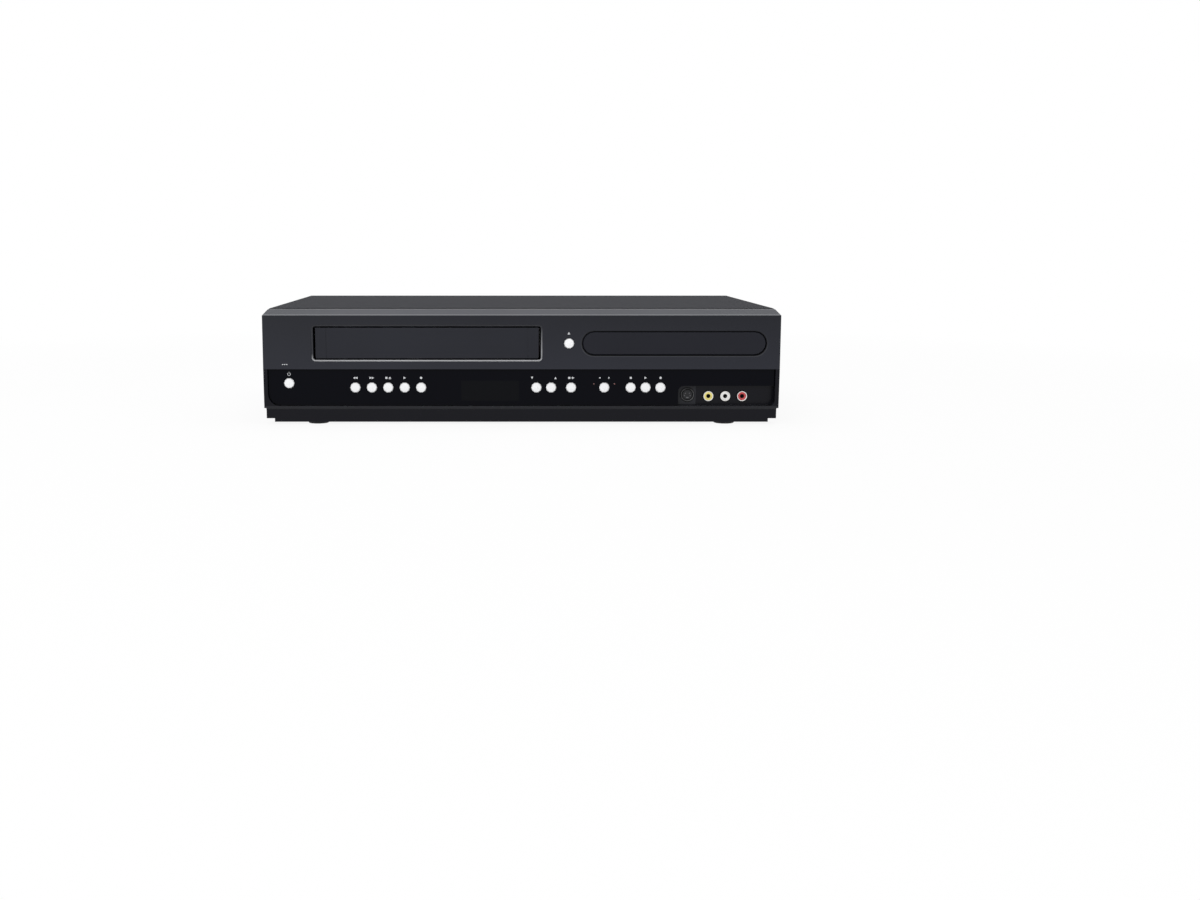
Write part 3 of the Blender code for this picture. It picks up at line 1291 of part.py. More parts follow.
def mains_inlet():
    """A two-pin inlet that snaps into the rear panel from outside, with its rim on the panel."""
    half_wide, half_tall = INLET_WIDTH / 2, INLET_TALL / 2
    radii = (INLET_CORNER, INLET_CORNER, INLET_CORNER, INLET_CORNER)

    def outline(inset):
        xs = (INLET_X - half_wide + inset, INLET_X + half_wide - inset)
        return rounded(xs, (INLET_HEIGHT - half_tall + inset, INLET_HEIGHT + half_tall - inset), radii)

    outside = REAR_PANEL_OUT + SEAT_GAP + INLET_RIM
    rim = plate("mains_inlet", dark_plastic(), [outline(0)], INLET_RIM, facing_front(0, outside, 0))
    body_place = facing_front(0, outside - INLET_RIM + JOIN_LAP, 0)
    join(rim, plate("inlet body", dark_plastic(), [outline(INLET_RIM)], INLET_LENGTH, body_place))
    mouth = plate(
        "inlet mouth",
        dark_plastic(),
        [outline(INLET_RIM + INLET_WALL)],
        INLET_MOUTH_DEPTH + OVERRUN,
        facing_front(0, outside + OVERRUN, 0),
    )
    cut(rim, mouth)
    for side in (-1, 1):
        start = facing_back(
            INLET_X + side * INLET_PIN_SPREAD, outside - INLET_MOUTH_DEPTH - JOIN_LAP, INLET_HEIGHT
        )
        join(
            rim, rod(f"inlet pin {side}", bare_metal(), INLET_PIN_RADIUS, INLET_PIN_LENGTH, start, SMALL // 2)
        )
    return rim


# Outer metalwork
def fan_slots():
    """Curved slots in three rings, each turned a little from the last."""
    slots = []
    for ring, radius in enumerate(SLOT_RING_RADII):
        span, turn = SLOT_SPAN_DEGREES[ring], SLOT_TURN_DEGREES[ring]
        for n in range(SLOT_COUNT):
            middle = turn + n * 360 / SLOT_COUNT
            outer = arc(
                (FAN_X, FAN_HEIGHT),
                radius + SLOT_HALF_WIDTH,
                middle - span / 2,
                middle + span / 2,
                SLOT_STEPS,
            )
            inner = arc(
                (FAN_X, FAN_HEIGHT),
                radius - SLOT_HALF_WIDTH,
                middle + span / 2,
                middle - span / 2,
                SLOT_STEPS,
            )
            slots.append(outer + inner)
    return slots


def fan_screw_places():
    reach = FAN_SCREW_SPREAD
    return [(FAN_X + sx * reach, FAN_HEIGHT + sz * reach) for sx in (-1, 1) for sz in (-1, 1)]


def rear_panel():
    """Plated sheet with the fan's slots and a hole for each socket."""
    zs = (PAN_BOTTOM, BODY_HEIGHT - SHEET - SEAT_GAP)
    outline = rounded((-INSIDE_HALF, INSIDE_HALF), zs, (0, 0, COVER_EDGE_ROUND, COVER_EDGE_ROUND))
    holes = fan_slots()
    holes += [circle(place, FAN_SCREW_HOLE_RADIUS, SMALL // 2) for place in fan_screw_places()]
    for x, heights in rear_columns().values():
        holes += [circle((x, z), RCA_BARREL_RADIUS + HOLE_GAP, SMALL) for z in heights]
    holes += [circle((x, SVIDEO_ROW), SVIDEO_RADIUS + HOLE_GAP, MEDIUM) for x in (SVIDEO_OUT_X, SVIDEO_IN_X)]
    holes.append(hdmi_outline(HOLE_GAP))
    inlet_half_wide = INLET_WIDTH / 2 - INLET_RIM + SEAT_GAP
    inlet_half_tall = INLET_TALL / 2 - INLET_RIM + SEAT_GAP
    inlet_xs = (INLET_X - inlet_half_wide, INLET_X + inlet_half_wide)
    holes.append(rectangle(inlet_xs, (INLET_HEIGHT - inlet_half_tall, INLET_HEIGHT + inlet_half_tall)))
    return plate("rear_panel", plated_steel(), [outline, *holes], SHEET, facing_front(0, REAR_PANEL_OUT, 0))


def top_cover():
    """The U of the cover, from the right foot over the top, with the flange folded in at the back."""
    half, top, low = COVER_HALF, BODY_HEIGHT, COVER_SIDE_BOTTOM
    rounding = COVER_EDGE_ROUND
    path = [(half, low)]
    path += arc((half - rounding, top - rounding), rounding, 0, 90, ARC_STEPS // 2)
    path += arc((-half + rounding, top - rounding), rounding, 90, 180, ARC_STEPS // 2)
    path += [(-half, low)]
    inner, ceiling = half - COVER_FLANGE, top - COVER_FLANGE
    length, place = COVER_REAR - COVER_FRONT, facing_front(0, COVER_REAR, 0)
    cover = folded("top_cover", painted_steel(), path, length, place, hem=(inner, ceiling))
    base, tip = NOTCH_BASE_WIDTH / 2, NOTCH_TOP_WIDTH / 2
    low_edge = base + (base - tip) * OVERRUN / NOTCH_TALL
    notch = [(NOTCH_X - low_edge, ceiling - OVERRUN), (NOTCH_X + low_edge, ceiling - OVERRUN)]
    notch += [(NOTCH_X + tip, ceiling + NOTCH_TALL), (NOTCH_X - tip, ceiling + NOTCH_TALL)]
    notch_place = facing_front(0, COVER_REAR + OVERRUN / 2, 0)
    cut(cover, plate("flange notch", painted_steel(), [notch], SHEET + OVERRUN, notch_place))
    for n in range(VENT_COUNT):
        y = depth(VENT_END_DEPTH - n * VENT_PITCH)
        slot = [
            (back, height) for height, back in pill((VENT_HEIGHT, y), VENT_TALL, VENT_WIDTH, ARC_STEPS // 2)
        ]
        width = BODY_WIDTH + OVERRUN * 2
        cut(cover, plate(f"vent {n}", painted_steel(), [slot], width, across(-width / 2, 0, 0)))
    return cover


def chassis_base():
    """The base pan, folded up at its sides and front, with the posts that carry the boards."""
    half = INSIDE_HALF
    path = [(-half, PAN_BOTTOM + PAN_SIDE_FLANGE), (-half, PAN_BOTTOM), (half, PAN_BOTTOM)]
    path += [(half, PAN_BOTTOM + PAN_SIDE_FLANGE)]
    pan = folded("chassis_base", plated_steel(), path, INSIDE_END - PAN_FRONT, facing_front(0, INSIDE_END, 0))
    flange_half = half - SHEET - SEAT_GAP
    zs = (PAN_TOP - SHEET / 2, PAN_BOTTOM + PAN_FRONT_FLANGE)
    join(
        pan,
        box(
            "pan front flange",
            plated_steel(),
            (-flange_half, flange_half),
            (PAN_FRONT, PAN_FRONT + SHEET),
            zs,
        ),
    )
    for x, y in board_post_places():
        reach = BOARD_LEVEL - SEAT_GAP - PAN_TOP + SHEET / 2
        join(
            pan,
            rod(
                "stand-off", plated_steel(), STANDOFF_RADIUS, reach, at(x, y, PAN_TOP - SHEET / 2), SMALL // 2
            ),
        )
    ribs = (depth(PANEL_DEPTH + PAN_RIB_SPREAD), depth(PANEL_DEPTH + PAN_RIB_SPREAD * 2))
    for y in ribs:
        ys = (y - PAN_RIB_WIDTH / 2, y + PAN_RIB_WIDTH / 2)
        top = PAN_TOP + PAN_RIB_TALL
        rib_half = half - PAN_RIB_SPREAD / 2
        join(pan, box("pan rib", plated_steel(), (-rib_half, rib_half), ys, (PAN_TOP - SHEET / 2, top)))
    for side in (-1, 1):
        foot = at(side * REAR_FOOT_X, depth(BODY_DEPTH - REAR_FOOT_END_GAP), PAN_BOTTOM - OVERRUN)
        reach = SHEET + OVERRUN * 2
        cut(pan, rod("rear foot hole", rubber(), FOOT_STUD_RADIUS + SEAT_GAP, reach, foot, SMALL))
    return pan


def board_post_places():
    """Where the pan's stand-offs lie under the two low boards."""
    inset = STANDOFF_INSET
    front = depth(MAIN_BOARD_FRONT_DEPTH) + inset
    end = BOARD_END - inset
    places = [(x, y) for x in (MAIN_BOARD_LEFT + inset, MAIN_BOARD_RIGHT - inset) for y in (front, end)]
    power_front = depth(POWER_BOARD_FRONT_DEPTH) + inset
    power_end = depth(POWER_BOARD_FRONT_DEPTH + POWER_BOARD_LENGTH) - inset
    power_xs = (POWER_BOARD_LEFT + inset, POWER_BOARD_RIGHT - inset)
    return places + [(x, y) for x in power_xs for y in (power_front, power_end)]


def feet():
    """Tapered front feet under the moulding and flat domed rear feet under the pan, each with a stud."""
    seats = {
        "front": (FRONT_FOOT_X, depth(FRONT_FOOT_DEPTH), FRONT_FOOT_RADIUS, SKIRT_BOTTOM, PANEL_FLOOR_WALL),
        "rear": (REAR_FOOT_X, depth(BODY_DEPTH - REAR_FOOT_END_GAP), REAR_FOOT_RADIUS, PAN_BOTTOM, SHEET),
    }
    for end, (x, y, radius, seat, wall) in seats.items():
        top = seat - SEAT_GAP
        stud = seat + wall + FOOT_STUD_PROUD
        profile = [(0, stud), (FOOT_STUD_RADIUS, stud), (FOOT_STUD_RADIUS, top), (radius, top)]
        profile += [(radius - FOOT_EDGE, FOOT_EDGE), (radius - FOOT_EDGE * 2, 0), (0, 0)]
        for side, word in ((-1, "left"), (1, "right")):
            turned(f"foot_{end}_{word}", rubber(), profile, at(side * x, y, 0), MEDIUM)


# Cassette door
def vcr_door():
    """The flap over the cassette mouth, with an arm and a pin at each end."""
    front = DOOR_SET_BACK + FACE_LEAN
    half = DOOR_WIDTH / 2
    back = depth(front + DOOR_THICKNESS)
    edge = rounded(
        (DOOR_X - half, DOOR_X + half), (DOOR_BOTTOM, DOOR_TOP), (MOUTH_ROUND / 2, MOUTH_ROUND / 2, 0, 0)
    )
    door = plate("vcr_door", gloss_black(), [edge], DOOR_THICKNESS, facing_front(0, back, 0))
    for side in (-1, 1):
        line = DOOR_X + side * (half - DOOR_RIB_INSET)
        xs = (line - DOOR_RIB / 2, line + DOOR_RIB / 2)
        ys = (depth(front) - OVERRUN, depth(front) + DOOR_RIB / 2)
        cut(door, opening(f"door line {side}", xs, ys, (DOOR_BOTTOM - OVERRUN, DOOR_TOP + OVERRUN)))
        join(door, door_arm(side, front))
    return pivot(frozen(door, "vcr_door", gloss_black()), DOOR_X, depth(DOOR_PIVOT_DEPTH), DOOR_PIVOT_HEIGHT)


def door_arm(side, front):
    """A tapered arm from the door's back to its pivot, and the pin that turns in the cheek."""
    outer = DOOR_WIDTH / 2 - DOOR_ARM_INSET
    back = front + DOOR_THICKNESS - JOIN_LAP
    low = DOOR_TOP - DOOR_ARM_DROP
    boss = arc((DOOR_PIVOT_DEPTH, DOOR_PIVOT_HEIGHT), DOOR_ARM_RADIUS, -30, 180, ARC_STEPS * 2)
    profile = [(back, low), *boss, (DOOR_PIVOT_DEPTH - DOOR_ARM_RADIUS, DOOR_TOP), (back, DOOR_TOP)]
    start = DOOR_X + min(side * outer, side * (outer - DOOR_ARM_THICKNESS))
    arm = plate(f"door arm {side}", gloss_black(), [profile], DOOR_ARM_THICKNESS, across(start, FRONT_Y, 0))
    reach = CHEEK_GAP + DOOR_ARM_INSET + CHEEK_THICKNESS + JOIN_LAP
    pin_start = DOOR_X + side * (outer - JOIN_LAP)
    turn = Matrix.Rotation(math.radians(side * 90), 4, "Y")
    place = at(pin_start, depth(DOOR_PIVOT_DEPTH), DOOR_PIVOT_HEIGHT) @ turn
    return join(arm, rod(f"door pin {side}", gloss_black(), DOOR_PIN_RADIUS, reach, place, SMALL))


# Disc loader
def rack_teeth():
    """The rack's edge as (X, Y) points: straight teeth that face the gear."""
    start, end = depth(RACK_FRONT_DEPTH), depth(RACK_END_DEPTH)
    tip, root = RACK_LINE_X - GEAR_MODULE, RACK_LINE_X + GEAR_MODULE
    quarter = GEAR_PITCH / 4
    slope = GEAR_MODULE * math.tan(math.radians(GEAR_PRESSURE_DEGREES))
    count = int((end - start) / GEAR_PITCH)
    points = []
    for n in range(count):
        middle = GEAR_Y + GEAR_PITCH * (n - int((GEAR_Y - start) / GEAR_PITCH))
        flank = quarter - GEAR_BACKLASH
        points += [(root, middle - flank - slope), (tip, middle - flank + slope)]
        points += [(tip, middle + flank - slope), (root, middle + flank + slope)]
    back = RACK_LINE_X + GEAR_MODULE + RACK_BACK
    return [(back, points[0][1]), *points, (back, points[-1][1])]


def gear_outline():
    """Teeth with straight flanks round the gear's pitch circle, a gap facing the rack."""
    quarter = 90 / GEAR_TEETH
    slack = math.degrees(GEAR_BACKLASH / GEAR_RADIUS)
    lean = math.degrees(GEAR_MODULE * math.tan(math.radians(GEAR_PRESSURE_DEGREES)) / GEAR_RADIUS)
    root, tip = GEAR_RADIUS - GEAR_MODULE * GEAR_ROOT_SHARE, GEAR_RADIUS + GEAR_MODULE * GEAR_TIP_SHARE
    points = []
    for n in range(GEAR_TEETH):
        middle = (n + 1 / 2) * 360 / GEAR_TEETH
        for radius, turn in ((root, -quarter + slack - lean), (tip, -quarter + slack + lean)):
            points += arc((GEAR_X, GEAR_Y), radius, middle + turn, middle + turn, 1)[:1]
        for radius, turn in ((tip, quarter - slack - lean), (root, quarter - slack + lean)):
            points += arc((GEAR_X, GEAR_Y), radius, middle + turn, middle + turn, 1)[:1]
    return points


def tray_gear():
    """The spur gear that drives the rack, on a post of the loader."""
    bore = circle((GEAR_X, GEAR_Y), GEAR_BORE, SMALL)
    top = TRAY_BOTTOM - SEAT_GAP
    gear = plate(
        "tray_gear", silver_cap(), [gear_outline(), bore], GEAR_THICKNESS, at(0, 0, top - GEAR_THICKNESS)
    )
    return pivot(gear, GEAR_X, GEAR_Y, top)


def disc_tray():
    """The drawer, with wells for two sizes of disc, a slot for the spindle and pickup, and the rack below."""
    half = TRAY_WIDTH / 2
    front, end = depth(TRAY_FRONT_BACK + SEAT_GAP), depth(TRAY_END_DEPTH)
    outline = rounded((TRAY_X - half, TRAY_X + half), (front, end), (0, 0, TRAY_CORNER, TRAY_CORNER))
    tray = plate("disc_tray", dark_plastic(), [outline], TRAY_TOP - TRAY_BOTTOM, at(0, 0, TRAY_BOTTOM))
    well = TRAY_TOP - DISC_WELL_DEPTH
    for name, radius, floor in (
        ("disc well", DISC_WELL_RADIUS, well),
        ("small disc well", SMALL_WELL_RADIUS, well - SMALL_WELL_DEPTH),
    ):
        place = at(TRAY_X, DISC_CENTRE_Y, floor)
        cut(tray, rod(name, dark_plastic(), radius, TRAY_TOP - floor + OVERRUN, place, WIDE))
    slot_end = DISC_CENTRE_Y + SPINDLE_SLOT_LENGTH
    slot = arc((TRAY_X, DISC_CENTRE_Y), SPINDLE_SLOT_RADIUS, 180, 360, ARC_STEPS * 2)
    slot += [(TRAY_X + SPINDLE_SLOT_RADIUS, slot_end), (TRAY_X - SPINDLE_SLOT_RADIUS, slot_end)]
    low = TRAY_BOTTOM - OVERRUN
    cut(tray, plate("spindle slot", dark_plastic(), [slot], TRAY_TOP - low + OVERRUN, at(0, 0, low)))
    relief_front = DISC_CENTRE_Y + DISC_WELL_RADIUS + TRAY_RELIEF_WALL
    relief = rounded(
        (TRAY_X - half + TRAY_RELIEF_WALL, TRAY_X + RACK_OFFSET - TRAY_RELIEF_WALL / 2),
        (relief_front, end - TRAY_RELIEF_WALL / 2),
        (TRAY_CORNER, TRAY_CORNER, TRAY_CORNER, TRAY_CORNER),
    )
    cut(tray, plate("tray relief", dark_plastic(), [relief], TRAY_RELIEF + OVERRUN, at(0, 0, low)))
    rack_place = at(0, 0, TRAY_BOTTOM - RACK_TALL)
    return join(tray, plate("tray rack", dark_plastic(), [rack_teeth()], RACK_TALL + JOIN_LAP, rack_place))


def tray_front():
    """The round-ended face on the drawer, with a bevelled edge."""
    back = depth(TRAY_FRONT_BACK)
    body = TRAY_FRONT_THICKNESS - TRAY_FRONT_EDGE
    middle = (TRAY_X, TRAY_FRONT_HEIGHT)
    full = pill(middle, TRAY_FRONT_WIDTH, TRAY_FRONT_TALL)
    small = pill(middle, TRAY_FRONT_WIDTH - TRAY_FRONT_EDGE * 2, TRAY_FRONT_TALL - TRAY_FRONT_EDGE * 2)
    rings = [(full, 0), (full, body), (small, TRAY_FRONT_THICKNESS)]
    return loft("tray_front", gloss_black(), rings, facing_front(0, back, 0))


def drive_base():
    """The loader's tub, drawn from its section, with the platform for the spindle and pickup inside it."""
    half, inner = LOADER_WIDTH / 2, LOADER_INNER_HALF
    ledge = inner - LEDGE_WIDTH
    ledge_top = TRAY_BOTTOM - SEAT_GAP
    ledge_low = ledge_top - LEDGE_THICKNESS
    rail_low = TRAY_TOP + SEAT_GAP
    right = [
        (half, LOADER_FLOOR), (half, LOADER_TOP), (ledge, LOADER_TOP), (ledge, rail_low), (inner, rail_low)
    ]
    right += [
        (inner, ledge_top),
        (ledge, ledge_top),
        (ledge, ledge_low),
        (inner, ledge_low),
        (inner, LOADER_FLOOR_TOP),
    ]
    section = right + mirrored(right)
    end = depth(LOADER_END_DEPTH)
    length = LOADER_END_DEPTH - LOADER_FRONT_DEPTH
    base = plate("drive_base", dark_plastic(), [section], length, facing_front(TRAY_X, end, 0))
    xs = (TRAY_X - inner - JOIN_LAP, TRAY_X + inner + JOIN_LAP)
    lap = LOADER_FLOOR_TOP - LOADER_FLOOR_THICKNESS / 2
    join(base, box("loader back wall", dark_plastic(), xs, (end - LOADER_WALL, end), (lap, LOADER_TOP)))
    front = depth(LOADER_FRONT_DEPTH)
    front_zs = (lap, ledge_low - RACK_TALL / 2)
    join(base, box("loader front wall", dark_plastic(), xs, (front, front + LOADER_WALL), front_zs))
    join(base, traverse())
    shoulder = ledge_top - GEAR_THICKNESS - SEAT_GAP
    post = GEAR_BORE - DECK_HOLE_GAP / 2
    profile = [
        (0, ledge_top), (post, ledge_top), (post, shoulder), (post * 2, shoulder), (post * 2, lap), (0, lap)
    ]
    join(base, turned("gear post", dark_plastic(), profile, at(GEAR_X, GEAR_Y, 0), SMALL))
    leg_ys = (depth(LOADER_FRONT_LEG_DEPTH), end - LOADER_LEG)
    for n, side in enumerate((-1, 1, -1, 1)):
        x = TRAY_X + side * (half - LOADER_LEG / 2)
        ys = (leg_ys[n // 2] - LOADER_LEG / 2, leg_ys[n // 2] + LOADER_LEG / 2)
        leg_xs = (x - LOADER_LEG / 2, x + LOADER_LEG / 2)
        join(base, box(f"loader leg {n}", dark_plastic(), leg_xs, ys, (PAN_TOP + SEAT_GAP, lap)))
    board_ys = (depth(DIGITAL_BOARD_FRONT_DEPTH) + LOADER_LEG, end - LOADER_LEG)
    for n, side in enumerate((-1, 1, -1, 1)):
        reach = DIGITAL_BOARD_BOTTOM - SEAT_GAP - LOADER_TOP + JOIN_LAP
        place = at(TRAY_X + side * (inner - LEDGE_WIDTH / 2), board_ys[n // 2], LOADER_TOP - JOIN_LAP)
        join(base, rod(f"board peg {n}", dark_plastic(), STANDOFF_RADIUS, reach, place, SMALL // 2))
    return base


def traverse():
    """The platform under the tray: a plate with a long opening, two rods and the spindle's motor."""
    half = TRAVERSE_WIDTH / 2
    gap = TRAVERSE_OPENING_WIDTH / 2
    opening_end = TRAVERSE_OPENING_FRONT + TRAVERSE_OPENING_LENGTH
    edge = rectangle((TRAY_X - half, TRAY_X + half), (TRAVERSE_FRONT, TRAVERSE_END))
    hole = rectangle((TRAY_X - gap, TRAY_X + gap), (TRAVERSE_OPENING_FRONT, opening_end))
    platform = plate("traverse", bare_metal(), [edge, hole], TRAVERSE_THICKNESS, at(0, 0, TRAVERSE_BOTTOM))
    level = TRAVERSE_BOTTOM + TRAVERSE_THICKNESS / 2
    for side in (-1, 1):
        start = at(TRAY_X + side * SLED_RAIL_SPREAD, TRAVERSE_OPENING_FRONT - JOIN_LAP * 2, level) @ TO_BACK
        reach = TRAVERSE_OPENING_LENGTH + JOIN_LAP * 4
        join(platform, rod(f"pickup rod {side}", bare_metal(), SLED_RAIL_RADIUS, reach, start, SMALL))
    motor = at(TRAY_X, DISC_CENTRE_Y, TRAVERSE_TOP - JOIN_LAP)
    join(
        platform,
        rod("spindle motor", bare_metal(), SPINDLE_MOTOR_RADIUS, SPINDLE_MOTOR_TALL + JOIN_LAP, motor, FINE),
    )
    low = LOADER_FLOOR_TOP - LOADER_FLOOR_THICKNESS / 2
    reach = TRAVERSE_BOTTOM - low + TRAVERSE_THICKNESS / 2
    inset = TRAVERSE_POST_INSET
    for n, x in enumerate((TRAY_X - half + inset, TRAY_X + half - inset)):
        for m, y in enumerate((TRAVERSE_FRONT + inset, TRAVERSE_END - inset)):
            join(
                platform,
                rod(
                    f"traverse post {n} {m}", bare_metal(), STANDOFF_RADIUS, reach, at(x, y, low), SMALL // 2
                ),
            )
    return platform


def spindle():
    """The turntable, its shaft and its nose, on the spindle motor."""
    base = TRAVERSE_TOP + SPINDLE_MOTOR_TALL + SEAT_GAP
    top = base + TURNTABLE_THICKNESS
    tip = top + TURNTABLE_NOSE_TALL
    profile = [(0, tip), (TURNTABLE_NOSE_TIP, tip), (TURNTABLE_NOSE_RADIUS, top), (TURNTABLE_RADIUS, top)]
    profile += [(TURNTABLE_RADIUS, base), (0, base)]
    return turned("turntable", dark_plastic(), profile, at(TRAY_X, DISC_CENTRE_Y, 0), FINE)


def laser_sled():
    """The pickup on its two rods, with the lens on top."""
    half = SLED_WIDTH / 2
    level = TRAVERSE_BOTTOM + TRAVERSE_THICKNESS / 2
    start = TRAVERSE_OPENING_FRONT + SLED_FRONT_GAP / 2
    zs = (level - SLED_TALL / 2, level + SLED_TALL / 2)
    outline = [(TRAY_X - half, start), (TRAY_X + half, start), (TRAY_X + half, start + SLED_LENGTH)]
    outline += [
        (TRAY_X + half / 2, start + SLED_LENGTH), (TRAY_X + half / 2, start + SLED_LENGTH - SLED_NECK)
    ]
    outline += [
        (TRAY_X - half / 2, start + SLED_LENGTH - SLED_NECK), (TRAY_X - half / 2, start + SLED_LENGTH)
    ]
    outline += [(TRAY_X - half, start + SLED_LENGTH)]
    sled = plate("laser_sled", bare_metal(), [outline], SLED_TALL, at(0, 0, zs[0]))
    for side in (-1, 1):
        bore_start = at(TRAY_X + side * SLED_RAIL_SPREAD, start - OVERRUN, level) @ TO_BACK
        radius = SLED_RAIL_RADIUS + SLED_RAIL_CLEARANCE
        cut(
            sled, rod(f"sled bore {side}", bare_metal(), radius, SLED_LENGTH + OVERRUN * 2, bore_start, SMALL)
        )
    lens = at(TRAY_X, start + SLED_LENGTH / 3, zs[1] - JOIN_LAP)
    join(sled, rod("pickup lens", gloss_black(), LENS_RADIUS, LENS_TALL + JOIN_LAP, lens, MEDIUM))
    return sled


def clamp_bridge():
    """The bridge over the tray, folded down at its front and back, with a round hole for the clamper."""
    half = BRIDGE_LENGTH / 2
    width = LOADER_WIDTH
    path = [(-half, BRIDGE_TOP + BRIDGE_RIB), (-half, BRIDGE_BOTTOM), (half, BRIDGE_BOTTOM)]
    path += [(half, BRIDGE_TOP + BRIDGE_RIB)]
    place = across(TRAY_X - width / 2, DISC_CENTRE_Y, 0)
    bridge = folded("clamp_bridge", plated_steel(), path, width, place, BRIDGE_THICKNESS)
    hole = at(TRAY_X, DISC_CENTRE_Y, BRIDGE_BOTTOM - OVERRUN)
    reach = BRIDGE_THICKNESS + OVERRUN * 2
    return cut(bridge, rod("clamper hole", plated_steel(), BRIDGE_HOLE_RADIUS, reach, hole, FINE))


def disc_clamper():
    """The puck that hangs in the bridge and presses the disc on the turntable."""
    neck = BRIDGE_HOLE_RADIUS - CLAMPER_NECK_GAP
    flange = BRIDGE_HOLE_RADIUS + CLAMPER_FLANGE
    seat = BRIDGE_TOP + SEAT_GAP
    under = BRIDGE_BOTTOM - CLAMPER_FLOAT
    top, low = seat + CLAMPER_TOP_THICKNESS, under - CLAMPER_BOTTOM_THICKNESS
    profile = [(0, top), (flange, top), (flange, seat), (neck, seat), (neck, under), (flange, under)]
    profile += [(flange, low), (0, low)]
    return turned("disc_clamper", dark_plastic(), profile, at(TRAY_X, DISC_CENTRE_Y, 0), FINE)


# Tape deck
def capstan_place():
    return DOOR_X + CAPSTAN_OFFSET, depth(CAPSTAN_DEPTH)


def pinch_place():
    return DOOR_X + PINCH_PIVOT_OFFSET, depth(PINCH_PIVOT_DEPTH)


def reel_places():
    return {
        "supply_reel": (DOOR_X - REEL_SPREAD, depth(REEL_DEPTH)),
        "takeup_reel": (DOOR_X + REEL_SPREAD, depth(REEL_DEPTH)),
    }


def deck_leg_places():
    xs = (DOOR_X - DECK_HALF + DECK_LEG_INSET, DOOR_X + DECK_HALF - DECK_LEG_INSET)
    ys = (depth(DECK_FRONT_DEPTH) + DECK_LEG_INSET, depth(DECK_END_DEPTH) - DECK_LEG_INSET)
    return [(x, y) for x in xs for y in ys]


def vcr_deck():
    """The deck plate on its legs, with the pins that its turning pieces sit on and a bore for the capstan."""
    edge = rectangle(
        (DOOR_X - DECK_HALF, DOOR_X + DECK_HALF), (depth(DECK_FRONT_DEPTH), depth(DECK_END_DEPTH))
    )
    bore = circle(capstan_place(), CAPSTAN_SHAFT_RADIUS + DECK_HOLE_GAP, SMALL)
    deck = plate("vcr_deck", plated_steel(), [edge, bore], DECK_THICKNESS, at(0, 0, DECK_BOTTOM))
    for n, (x, y) in enumerate(deck_leg_places()):
        reach = DECK_BOTTOM - PAN_TOP - SEAT_GAP + JOIN_LAP
        join(
            deck,
            rod(f"deck leg {n}", plated_steel(), DECK_LEG_RADIUS, reach, at(x, y, PAN_TOP + SEAT_GAP), SMALL),
        )
    for name, (x, y) in reel_places().items():
        place = at(x, y, DECK_TOP - JOIN_LAP)
        join(deck, rod(f"{name} pin", bare_metal(), REEL_PIN_RADIUS, REEL_HUB_TALL, place, SMALL))
    x, y = pinch_place()
    reach = PINCH_ARM_THICKNESS * 2 + PINCH_LIFT + JOIN_LAP
    pin = rod("pinch arm pin", bare_metal(), REEL_PIN_RADIUS, reach, at(x, y, DECK_TOP - JOIN_LAP), SMALL)
    return join(deck, pin)


def tape_reel(name, x, y):
    """A reel table: a flange, a stepped hub and fins, bored for its pin."""
    base = DECK_TOP + SEAT_GAP
    flange = base + REEL_FLANGE_THICKNESS
    fin_top, top = flange + REEL_FIN_TALL, flange + REEL_HUB_TALL
    bore = REEL_PIN_RADIUS + SEAT_GAP
    profile = [(REEL_TIP_RADIUS, top), (REEL_HUB_RADIUS, fin_top), (REEL_HUB_RADIUS, flange)]
    profile += [(REEL_FLANGE_RADIUS, flange), (REEL_FLANGE_RADIUS, base), (bore, base), (bore, top)]
    reel = turned(name, dark_plastic(), profile, at(x, y, 0), MEDIUM)
    for n in range(REEL_FIN_COUNT // 2):
        reach = REEL_HUB_RADIUS + REEL_FIN_REACH
        for side in (-1, 1):
            xs = sorted((side * (REEL_HUB_RADIUS - REEL_FIN_WIDTH), side * reach))
            fin = box(
                f"{name} fin {n} {side}",
                dark_plastic(),
                xs,
                (-REEL_FIN_WIDTH / 2, REEL_FIN_WIDTH / 2),
                (flange - JOIN_LAP, fin_top),
            )
            fin.matrix_world = at(x, y, 0) @ Matrix.Rotation(math.tau * n / REEL_FIN_COUNT, 4, "Z")
            join(reel, fin)
    return reel


def drum_axis():
    """The drum's leaning axis, with local Z along it and its origin at the split between the two halves."""
    lean = Matrix.Rotation(math.radians(-DRUM_TILT_DEGREES), 4, "Y")
    return at(DOOR_X, depth(DRUM_DEPTH), DRUM_CENTRE_HEIGHT) @ lean


def drum_base():
    """The fixed lower drum on its foot."""
    top = -DRUM_SPLIT / 2
    low = top - DRUM_LOWER_TALL
    ledge = DRUM_RADIUS + DRUM_RAMP_REACH
    profile = [(0, top), (DRUM_RADIUS, top), (DRUM_RADIUS, low / 2), (ledge, low / 2), (ledge, low), (0, low)]
    drum = turned("drum_base", bare_metal(), profile, drum_axis(), FINE)
    half = DRUM_FOOT_SIDE / 2
    y = depth(DRUM_DEPTH)
    zs = (DECK_TOP + SEAT_GAP, DRUM_CENTRE_HEIGHT - DRUM_LOWER_TALL / 2)
    foot = box(
        "drum foot", bare_metal(), (DOOR_X - half / 2, DOOR_X + half / 2), (y - half / 2, y + half / 2), zs
    )
    return join(drum, foot)


